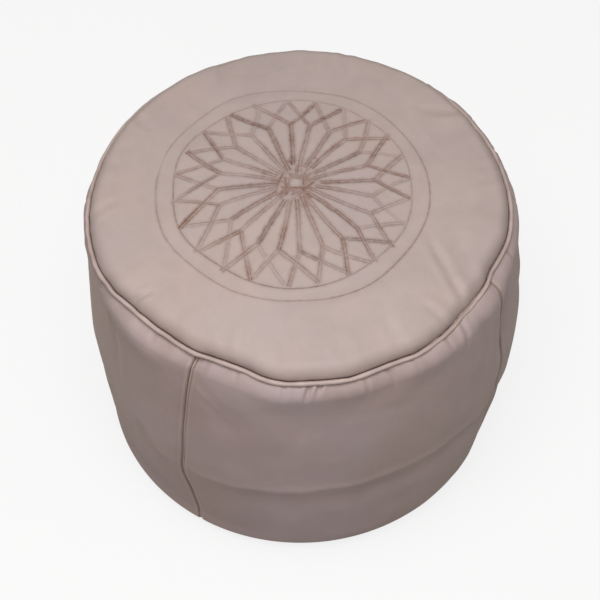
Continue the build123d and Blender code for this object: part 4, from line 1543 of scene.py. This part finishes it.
def new_group(name, inputs, outputs):
    """A shader node group with named sockets: (name, kind, value) in and (name, kind) out."""
    tree = bpy.data.node_groups.new(name, "ShaderNodeTree")
    for label, kind, value in inputs:
        socket = tree.interface.new_socket(label, in_out="INPUT", socket_type=kind)
        socket.default_value = value
    for label, kind in outputs:
        tree.interface.new_socket(label, in_out="OUTPUT", socket_type=kind)
    given, out = tree.nodes.new("NodeGroupInput"), tree.nodes.new("NodeGroupOutput")
    return tree, given.outputs, out.inputs


def place_group(tree, group, **inputs):
    node = add_node(tree, "ShaderNodeGroup", {"node_tree": group}, **inputs)
    return node.outputs


FLOAT, COLOUR, VECTOR = "NodeSocketFloat", "NodeSocketColor", "NodeSocketVector"

# %% [markdown]
# ## Leather patterns
# Goatskin that was tanned by hand is never one colour. It has soft patches a hand wide that
# lean to pink, tan or lilac, smaller clouds inside them, and a fine speckle of pores. The
# grain is a bump of small cells with a web of creases between; handling flattens it.

# %% Group: hide colour
def hide_colour_group():
    tree, given, out = new_group(
        "hide colour",
        [("Base", COLOUR, (0.5, 0.4, 0.4, 1)), ("Warm", COLOUR, (0.5, 0.4, 0.35, 1)),
         ("Cool", COLOUR, (0.45, 0.4, 0.4, 1)), ("Patch Size", FLOAT, 6.0),
         ("Patchiness", FLOAT, 0.6)],
        [("Color", COLOUR), ("Clouds", FLOAT)],
    )
    place = add_node(tree, "ShaderNodeTexCoord").outputs["Object"]
    patches = add_node(tree, "ShaderNodeTexNoise", Vector=place, Scale=given["Patch Size"],
                       Detail=3.0, Roughness=0.5, Distortion=0.4)
    shifted_place = add_node(tree, "ShaderNodeMapping", {"vector_type": "POINT"}, Vector=place)
    shifted_place.inputs["Location"].default_value = (3.1, -1.7, 0.6)
    others = add_node(tree, "ShaderNodeTexNoise", Vector=shifted_place.outputs[0],
                      Scale=math_node(tree, "MULTIPLY", given["Patch Size"], 1.7),
                      Detail=4.0, Roughness=0.55, Distortion=0.2)
    clouds = add_node(tree, "ShaderNodeTexNoise", Vector=place,
                      Scale=math_node(tree, "MULTIPLY", given["Patch Size"], 7.0),
                      Detail=5.0, Roughness=0.62, Distortion=0.5)
    warm = remap(tree, patches.outputs[0], 0.45, 0.68)
    warm = math_node(tree, "MULTIPLY", warm, given["Patchiness"])
    cool = remap(tree, others.outputs[0], 0.48, 0.7)
    cool = math_node(tree, "MULTIPLY", cool, given["Patchiness"])
    colour = mix_colour(tree, warm, given["Base"], given["Warm"])
    colour = mix_colour(tree, cool, colour, given["Cool"])
    shade = remap(tree, clouds.outputs[0], 0.3, 0.7, 0.955, 1.04)
    shade_colour = add_node(tree, "ShaderNodeCombineColor", Red=shade, Green=shade, Blue=shade)
    colour = mix_colour(tree, 1.0, colour, shade_colour.outputs[0], "MULTIPLY")
    tree.links.new(colour, out["Color"])
    tree.links.new(clouds.outputs[0], out["Clouds"])
    return tree


hide_colour = hide_colour_group()


# %% Group: leather grain
def leather_grain_group():
    tree, given, out = new_group(
        "leather grain",
        [("Cells", FLOAT, 700.0), ("Crease", FLOAT, 0.5), ("Smoothed", FLOAT, 0.0)],
        [("Height", FLOAT), ("Pores", FLOAT)],
    )
    place = add_node(tree, "ShaderNodeTexCoord").outputs["Object"]
    bent = add_node(tree, "ShaderNodeTexNoise", Vector=place, Scale=120.0, Detail=2.0)
    nudged = add_node(tree, "ShaderNodeVectorMath", {"operation": "MULTIPLY_ADD"})
    tree.links.new(bent.outputs["Color"], nudged.inputs[0])
    nudged.inputs[1].default_value = (0.004, 0.004, 0.004)
    tree.links.new(place, nudged.inputs[2])
    cells = add_node(tree, "ShaderNodeTexVoronoi", {"feature": "DISTANCE_TO_EDGE"},
                     Vector=nudged.outputs[0], Scale=given["Cells"])
    web = remap(tree, cells.outputs["Distance"], 0.0, 0.16)
    fine = add_node(tree, "ShaderNodeTexNoise", Vector=nudged.outputs[0],
                    Scale=math_node(tree, "MULTIPLY", given["Cells"], 1.9),
                    Detail=3.0, Roughness=0.6)
    soft = add_node(tree, "ShaderNodeTexNoise", Vector=place, Scale=90.0, Detail=4.0,
                    Roughness=0.55)
    web_part = math_node(tree, "MULTIPLY", web, given["Crease"])
    height = math_node(tree, "ADD", web_part, math_node(tree, "MULTIPLY", fine.outputs[0], 0.5))
    rough_share = math_node(tree, "SUBTRACT", 1.0, given["Smoothed"])
    height = math_node(tree, "MULTIPLY", height, rough_share)
    height = math_node(tree, "ADD", height, math_node(tree, "MULTIPLY", soft.outputs[0], 1.6))
    tree.links.new(height, out["Height"])
    tree.links.new(math_node(tree, "SUBTRACT", 1.0, web), out["Pores"])
    return tree


leather_grain = leather_grain_group()


# %% Group: stain, dirt with painted shade, and wear from the marks on the mesh
def marks_group():
    tree, given, out = new_group(
        "marks and shade",
        [("Color", COLOUR, (0.5, 0.4, 0.4, 1)), ("Brown Stain", COLOUR, (0.3, 0.15, 0.1, 1)),
         ("Grey Stain", COLOUR, (0.25, 0.19, 0.17, 1)), ("Dirt", COLOUR, (0.3, 0.2, 0.17, 1)),
         ("Wear", COLOUR, (0.65, 0.55, 0.5, 1)), ("Wear Amount", FLOAT, 0.5)],
        [("Color", COLOUR), ("Worn", FLOAT), ("Stained", FLOAT)],
    )
    layer = add_node(tree, "ShaderNodeAttribute", {"attribute_name": "marks"})
    parts = add_node(tree, "ShaderNodeSeparateColor", Color=layer.outputs["Color"]).outputs
    place = add_node(tree, "ShaderNodeTexCoord").outputs["Object"]
    breakup = add_node(tree, "ShaderNodeTexNoise", Vector=place, Scale=160.0, Detail=4.0,
                       Roughness=0.65)
    patchy = remap(tree, breakup.outputs[0], 0.32, 0.68, 0.55, 1.2)
    stain = math_node(tree, "MULTIPLY", parts["Red"], patchy, clamp=True)
    # The blue mark is dirt and painted shade, broken up by noise
    dirt_and_shade_breakup = remap(tree, breakup.outputs[0], 0.3, 0.7, 0.75, 1.1)
    dirt_and_shade = math_node(tree, "MULTIPLY", parts["Blue"], dirt_and_shade_breakup, clamp=True)
    worn = math_node(tree, "MULTIPLY", layer.outputs["Alpha"], given["Wear Amount"])
    worn = math_node(tree, "MULTIPLY", worn, patchy, clamp=True)
    stain_colour = mix_colour(tree, parts["Green"], given["Grey Stain"], given["Brown Stain"])
    colour = mix_colour(tree, dirt_and_shade, given["Color"], given["Dirt"])
    colour = mix_colour(tree, worn, colour, given["Wear"])
    colour = mix_colour(tree, stain, colour, stain_colour)
    tree.links.new(colour, out["Color"])
    tree.links.new(worn, out["Worn"])
    tree.links.new(stain, out["Stained"])
    return tree


marks_and_shade = marks_group()


# %% Group: plain weave
def weave_group():
    tree, given, out = new_group(
        "weave",
        [("Threads", FLOAT, 1200.0), ("Along", VECTOR, (1, 0, 0)), ("Across", VECTOR, (0, 1, 0))],
        [("Height", FLOAT), ("Shade", FLOAT)],
    )
    place = add_node(tree, "ShaderNodeTexCoord").outputs["Object"]
    waves = []
    for way, phase in (("Along", 0.0), ("Across", math.pi / 2)):
        line = add_node(tree, "ShaderNodeVectorMath", {"operation": "DOT_PRODUCT"})
        tree.links.new(place, line.inputs[0])
        tree.links.new(given[way], line.inputs[1])
        turn = math_node(tree, "MULTIPLY", line.outputs["Value"], given["Threads"])
        waves.append(math_node(tree, "SINE", math_node(tree, "ADD", turn, phase)))
    over = math_node(tree, "MULTIPLY", waves[0], waves[1])
    noise = add_node(tree, "ShaderNodeTexNoise", Vector=place, Scale=600.0, Detail=3.0)
    height = math_node(tree, "ADD", math_node(tree, "MULTIPLY", over, 0.5),
                       math_node(tree, "MULTIPLY", noise.outputs[0], 0.5))
    tree.links.new(height, out["Height"])
    tree.links.new(remap(tree, over, -1.0, 1.0, 0.8, 1.08), out["Shade"])
    return tree


weave = weave_group()
print("node groups:", [g.name for g in bpy.data.node_groups])


# %% [markdown]
# ## The leather finishes
# The crown, the sides, the piping and the base are cut from the same skins, so they share
# the three leather groups and differ in their values: the crown carries the stained tooling,
# the sides are a little pinker and have more sheen, the piping is stretched and shiny, and
# the base is the darkest and roughest.

# %% Leather material
def new_material(name):
    material = bpy.data.materials.new(name)
    material.use_nodes = True
    return material, material.node_tree, material.node_tree.nodes["Principled BSDF"]


GRAIN_CELLS = 820.0  # cells of grain in a metre
GRAIN_CREASE = 0.55
SHEEN_TINT = (1.0, 0.84, 0.70, 1.0)
BROWN_STAIN = (0.195, 0.098, 0.066, 1)
GREY_STAIN = (0.19, 0.125, 0.105, 1)
# Dark colour of dirt and of painted shade in seams, creases and hollows; the pores use it too
DIRT_AND_SHADE = (0.235, 0.15, 0.12, 1)
WORN = (0.60, 0.50, 0.46, 1)


def leather_material(name, base, warm, cool, patch_size, patchiness, wear, roughness, grain, sheen):
    """A leather finish: three colours in patches, the maker's marks over them, and its grain."""
    material, tree, shader = new_material(name)
    colour = place_group(tree, hide_colour, Base=base, Warm=warm, Cool=cool,
                         Patch__Size=patch_size, Patchiness=patchiness)
    marked = place_group(tree, marks_and_shade, Color=colour["Color"], Brown__Stain=BROWN_STAIN,
                         Grey__Stain=GREY_STAIN, Dirt=DIRT_AND_SHADE, Wear=WORN, Wear__Amount=wear)
    relief = place_group(tree, leather_grain, Cells=GRAIN_CELLS, Crease=GRAIN_CREASE,
                         Smoothed=marked["Worn"])
    pores = math_node(tree, "MULTIPLY", relief["Pores"], 0.06)
    darkened = mix_colour(tree, pores, marked["Color"], DIRT_AND_SHADE)
    rough = remap(tree, colour["Clouds"], 0.3, 0.7, roughness - 0.05, roughness + 0.07)
    rough = math_node(tree, "SUBTRACT", rough, math_node(tree, "MULTIPLY", marked["Worn"], 0.1))
    rough = math_node(tree, "ADD", rough, math_node(tree, "MULTIPLY", marked["Stained"], 0.12))
    bump_node = add_node(tree, "ShaderNodeBump", Height=relief["Height"], Strength=grain,
                         Distance=0.0004)
    set_input(tree, shader.inputs["Base Color"], darkened)
    set_input(tree, shader.inputs["Roughness"], rough)
    set_input(tree, shader.inputs["Normal"], bump_node.outputs[0])
    shader.inputs["Specular IOR Level"].default_value = 0.4
    shader.inputs["Sheen Weight"].default_value = sheen
    shader.inputs["Sheen Tint"].default_value = SHEEN_TINT
    shader.inputs["Sheen Roughness"].default_value = 0.4
    return material


crown_finish = leather_material(
    "crown leather", base=(0.452, 0.365, 0.340, 1), warm=(0.462, 0.364, 0.328, 1),
    cool=(0.435, 0.355, 0.345, 1), patch_size=5.0, patchiness=0.8, wear=0.5, roughness=0.52,
    grain=0.35, sheen=0.1)
side_finish = leather_material(
    "side leather", base=(0.475, 0.370, 0.358, 1), warm=(0.46, 0.352, 0.315, 1),
    cool=(0.44, 0.363, 0.366, 1), patch_size=4.5, patchiness=0.85, wear=0.55, roughness=0.47,
    grain=0.4, sheen=0.26)
piping_finish = leather_material(
    "piping leather", base=(0.46, 0.365, 0.335, 1), warm=(0.46, 0.35, 0.305, 1),
    cool=(0.44, 0.36, 0.34, 1), patch_size=14.0, patchiness=0.8, wear=0.5, roughness=0.42,
    grain=0.3, sheen=0.1)
base_finish = leather_material(
    "base leather", base=(0.40, 0.30, 0.275, 1), warm=(0.38, 0.28, 0.235, 1),
    cool=(0.36, 0.29, 0.28, 1), patch_size=5.0, patchiness=0.9, wear=0.3, roughness=0.6,
    grain=0.5, sheen=0.1)


# %% [markdown]
# ## Cloth, thread, fibre and metal
# The cotton bag, the zip's tape and the thread are woven or twisted, so their bump follows
# their threads. Fibre and wadding are soft scatter, with noise for tufts. The zip's teeth
# are moulded nylon and its slider is cast metal that has dulled with handling.

# %% Cloth and thread materials
def cloth_material(name, colour, threads, along, across, roughness, sheen):
    material, tree, shader = new_material(name)
    woven = place_group(tree, weave, Threads=threads, Along=along, Across=across)
    noise = add_node(tree, "ShaderNodeTexNoise", Scale=30.0, Detail=4.0)
    shade = woven["Shade"]
    tone = add_node(tree, "ShaderNodeCombineColor", Red=shade, Green=shade, Blue=shade)
    darker = tuple(c * 0.82 for c in colour[:3]) + (1,)
    base = mix_colour(tree, remap(tree, noise.outputs[0], 0.35, 0.65, 0.0, 0.3), colour, darker)
    base = mix_colour(tree, 1.0, base, tone.outputs[0], "MULTIPLY")
    bump_node = add_node(tree, "ShaderNodeBump", Height=woven["Height"], Strength=0.5,
                         Distance=0.0003)
    set_input(tree, shader.inputs["Base Color"], base)
    set_input(tree, shader.inputs["Normal"], bump_node.outputs[0])
    shader.inputs["Roughness"].default_value = roughness
    shader.inputs["Sheen Weight"].default_value = sheen
    return material


bag_finish = cloth_material(
    "bag cotton", (0.72, 0.68, 0.60, 1), threads=3600.0, along=(1, 0, 0.7), across=(0, 1, 0.7),
    roughness=0.9, sheen=0.3)
tape_finish = cloth_material(
    "zip tape", (0.36, 0.28, 0.25, 1), threads=7000.0, along=(1, 1, 0), across=(1, -1, 0),
    roughness=0.85, sheen=0.2)
cord_finish = cloth_material(
    "cotton cord", (0.70, 0.66, 0.58, 1), threads=5200.0, along=(1, 0, 1), across=(0, 1, -1),
    roughness=0.9, sheen=0.3)
thread_finish = cloth_material(
    "waxed thread", (0.60, 0.53, 0.45, 1), threads=9000.0, along=(1, 0.5, 0), across=(0, 1, 0.5),
    roughness=0.5, sheen=0.1)


# %% Fibre, nylon and metal materials
def fibre_material(name, colour, dark, scale):
    material, tree, shader = new_material(name)
    tufts = add_node(tree, "ShaderNodeTexNoise", Scale=scale, Detail=7.0, Roughness=0.7,
                     Distortion=1.2)
    strands = add_node(tree, "ShaderNodeTexWave", {"bands_direction": "DIAGONAL"}, Scale=scale * 2,
                       Distortion=18.0, Detail=4.0)
    strand_part = math_node(tree, "MULTIPLY", strands.outputs[1], 0.4)
    height = math_node(tree, "ADD", tufts.outputs[0], strand_part)
    base = mix_colour(tree, remap(tree, tufts.outputs[0], 0.35, 0.65), dark, colour)
    bump_node = add_node(tree, "ShaderNodeBump", Height=height, Strength=0.8, Distance=0.002)
    set_input(tree, shader.inputs["Base Color"], base)
    set_input(tree, shader.inputs["Normal"], bump_node.outputs[0])
    shader.inputs["Roughness"].default_value = 0.95
    shader.inputs["Sheen Weight"].default_value = 0.4
    return material


def hard_material(name, colour, dark, metallic, roughness, scale):
    material, tree, shader = new_material(name)
    wear = add_node(tree, "ShaderNodeTexNoise", Scale=scale, Detail=6.0, Roughness=0.7)
    scratch = add_node(tree, "ShaderNodeTexWave", {"bands_direction": "Y"}, Scale=scale,
                       Distortion=6.0, Detail=3.0, Detail__Scale=3.0)
    base = mix_colour(tree, remap(tree, wear.outputs[0], 0.4, 0.7), colour, dark)
    rough = remap(tree, wear.outputs[0], 0.3, 0.7, roughness - 0.07, roughness + 0.12)
    scratch_part = math_node(tree, "MULTIPLY", scratch.outputs[1], 0.3)
    height = math_node(tree, "ADD", wear.outputs[0], scratch_part)
    bump_node = add_node(tree, "ShaderNodeBump", Height=height, Strength=0.25, Distance=0.0001)
    set_input(tree, shader.inputs["Base Color"], base)
    set_input(tree, shader.inputs["Roughness"], rough)
    set_input(tree, shader.inputs["Normal"], bump_node.outputs[0])
    shader.inputs["Metallic"].default_value = metallic
    return material


wadding_finish = fibre_material(
    "cotton wadding", (0.80, 0.77, 0.71, 1), dark=(0.62, 0.58, 0.51, 1), scale=60.0)
filling_finish = fibre_material(
    "filling fibre", (0.78, 0.75, 0.69, 1), dark=(0.56, 0.52, 0.46, 1), scale=35.0)
teeth_finish = hard_material(
    "nylon teeth", (0.33, 0.25, 0.21, 1), dark=(0.24, 0.18, 0.15, 1), metallic=0.0,
    roughness=0.38, scale=300.0)
metal_finish = hard_material(
    "dulled nickel", (0.60, 0.57, 0.53, 1), dark=(0.36, 0.33, 0.29, 1), metallic=1.0,
    roughness=0.34, scale=400.0)

# %% [markdown]
# ## Give each piece its finish
# New pieces take a finish by the slot that they were given. The zip's parts keep their
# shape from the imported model, so only their material slots change, and a small bevel rounds
# the edges of the metal ones, as cast parts have.

# %% Assign finishes
FINISHES = {
    "crown_leather": crown_finish, "side_leather": side_finish, "piping_leather": piping_finish,
    "base_leather": base_finish, "cotton_cord": cord_finish, "sewing_thread": thread_finish,
    "wadding": wadding_finish, "filling_fibre": filling_finish, "bag_cotton": bag_finish,
}
NODE_FINISHES = {
    "zip_tape_front": tape_finish, "zip_tape_back": tape_finish, "zip_teeth_front": teeth_finish,
    "zip_teeth_back": teeth_finish, "zip_stops": metal_finish, "zip_slider": metal_finish,
    "zip_pull": metal_finish,
}
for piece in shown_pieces():
    if "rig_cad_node" in piece:
        finish = NODE_FINISHES[piece.name]
        for entry in piece.material_slots:
            entry.link = "OBJECT"
            entry.material = finish
        if not piece.material_slots:
            piece.data.materials.append(finish)
    else:
        piece.data.materials.append(FINISHES[piece["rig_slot"]])


def soften(node, width):
    """A small rounding on a hard part's edges."""
    piece = frame["nodes"][node]
    weld = piece.modifiers.new("weld", "WELD")
    weld.merge_threshold = 1e-6
    bevel = piece.modifiers.new("rounding", "BEVEL")
    bevel.width = width
    bevel.segments = 2
    bevel.limit_method = "ANGLE"
    bevel.angle_limit = math.radians(40)


for node, width in (("zip_slider", 0.35 * mm), ("zip_pull", 0.35 * mm), ("zip_stops", 0.25 * mm)):
    soften(node, width)

# %% [markdown]
# ## Floor and light
# The floor is plain and pale. Only the camera sees it so pale: to other rays it is darker,
# or its bounce would wash out the underside. One broad soft lamp hangs overhead, a weaker
# one stands in front, and the world gives a low even fill.

# %% Floor
floor_mesh = bpy.data.meshes.new("floor")
FLOOR_REACH = 30.0
floor_corners = [(x * FLOOR_REACH, y * FLOOR_REACH, 0)
                 for x, y in ((-1, -1), (1, -1), (1, 1), (-1, 1))]
floor_mesh.from_pydata(floor_corners, [], [(0, 1, 2, 3)])
floor = bpy.data.objects.new("floor", floor_mesh)
bpy.context.scene.collection.objects.link(floor)
FLOOR_GLOW = 0.81
FLOOR_PALE = (0.15, 0.15, 0.15, 1)
FLOOR_BOUNCE = (0.25, 0.24, 0.24, 1)
floor_finish = bpy.data.materials.new("pale floor")
floor_finish.use_nodes = True
tree = floor_finish.node_tree
tree.nodes.clear()
pale = add_node(tree, "ShaderNodeBsdfDiffuse", Color=FLOOR_PALE)
glow = add_node(tree, "ShaderNodeEmission", Color=(1, 1, 1, 1), Strength=FLOOR_GLOW)
seen = add_node(tree, "ShaderNodeAddShader")
tree.links.new(pale.outputs[0], seen.inputs[0])
tree.links.new(glow.outputs[0], seen.inputs[1])
bounce = add_node(tree, "ShaderNodeBsdfDiffuse", Color=FLOOR_BOUNCE)
choose = add_node(tree, "ShaderNodeMixShader")
tree.links.new(add_node(tree, "ShaderNodeLightPath").outputs["Is Camera Ray"], choose.inputs[0])
tree.links.new(bounce.outputs[0], choose.inputs[1])
tree.links.new(seen.outputs[0], choose.inputs[2])
tree.links.new(choose.outputs[0], add_node(tree, "ShaderNodeOutputMaterial").inputs[0])
floor_mesh.materials.append(floor_finish)

# %% World and lamps
world = bpy.data.worlds.new("studio")
bpy.context.scene.world = world
world.use_nodes = True
tree = world.node_tree
tree.nodes.clear()
FILL = 0.31
BACKDROP = 0.93
fill = add_node(tree, "ShaderNodeBackground", Color=(1.0, 0.985, 0.98, 1), Strength=FILL)
backdrop = add_node(tree, "ShaderNodeBackground", Color=(1, 1, 1, 1), Strength=BACKDROP)
choose = add_node(tree, "ShaderNodeMixShader")
tree.links.new(add_node(tree, "ShaderNodeLightPath").outputs["Is Camera Ray"], choose.inputs[0])
tree.links.new(fill.outputs[0], choose.inputs[1])
tree.links.new(backdrop.outputs[0], choose.inputs[2])
tree.links.new(choose.outputs[0], add_node(tree, "ShaderNodeOutputWorld").inputs[0])


def soft_lamp(name, place, aim, size, watts, colour):
    lamp = bpy.data.lights.new(name, "AREA")
    lamp.shape = "DISK"
    lamp.size = size
    lamp.energy = watts
    lamp.color = colour
    holder = bpy.data.objects.new(name, lamp)
    holder.location = place
    way = Vector(aim) - Vector(place)
    holder.rotation_euler = way.to_track_quat("-Z", "Y").to_euler()
    bpy.context.scene.collection.objects.link(holder)


middle = Vector((0, 0, crown_top / 2))
soft_lamp("overhead", (-0.3, -0.6, 2.6), (0, 0, crown_top), 1.7, 47, (1.0, 0.985, 0.975))
soft_lamp("front fill", (-1.3, -2.4, 1.3), middle, 1.6, 10.5, (1.0, 0.97, 0.97))
bpy.context.scene.view_settings.view_transform = "Standard"

# %% Finish
import json
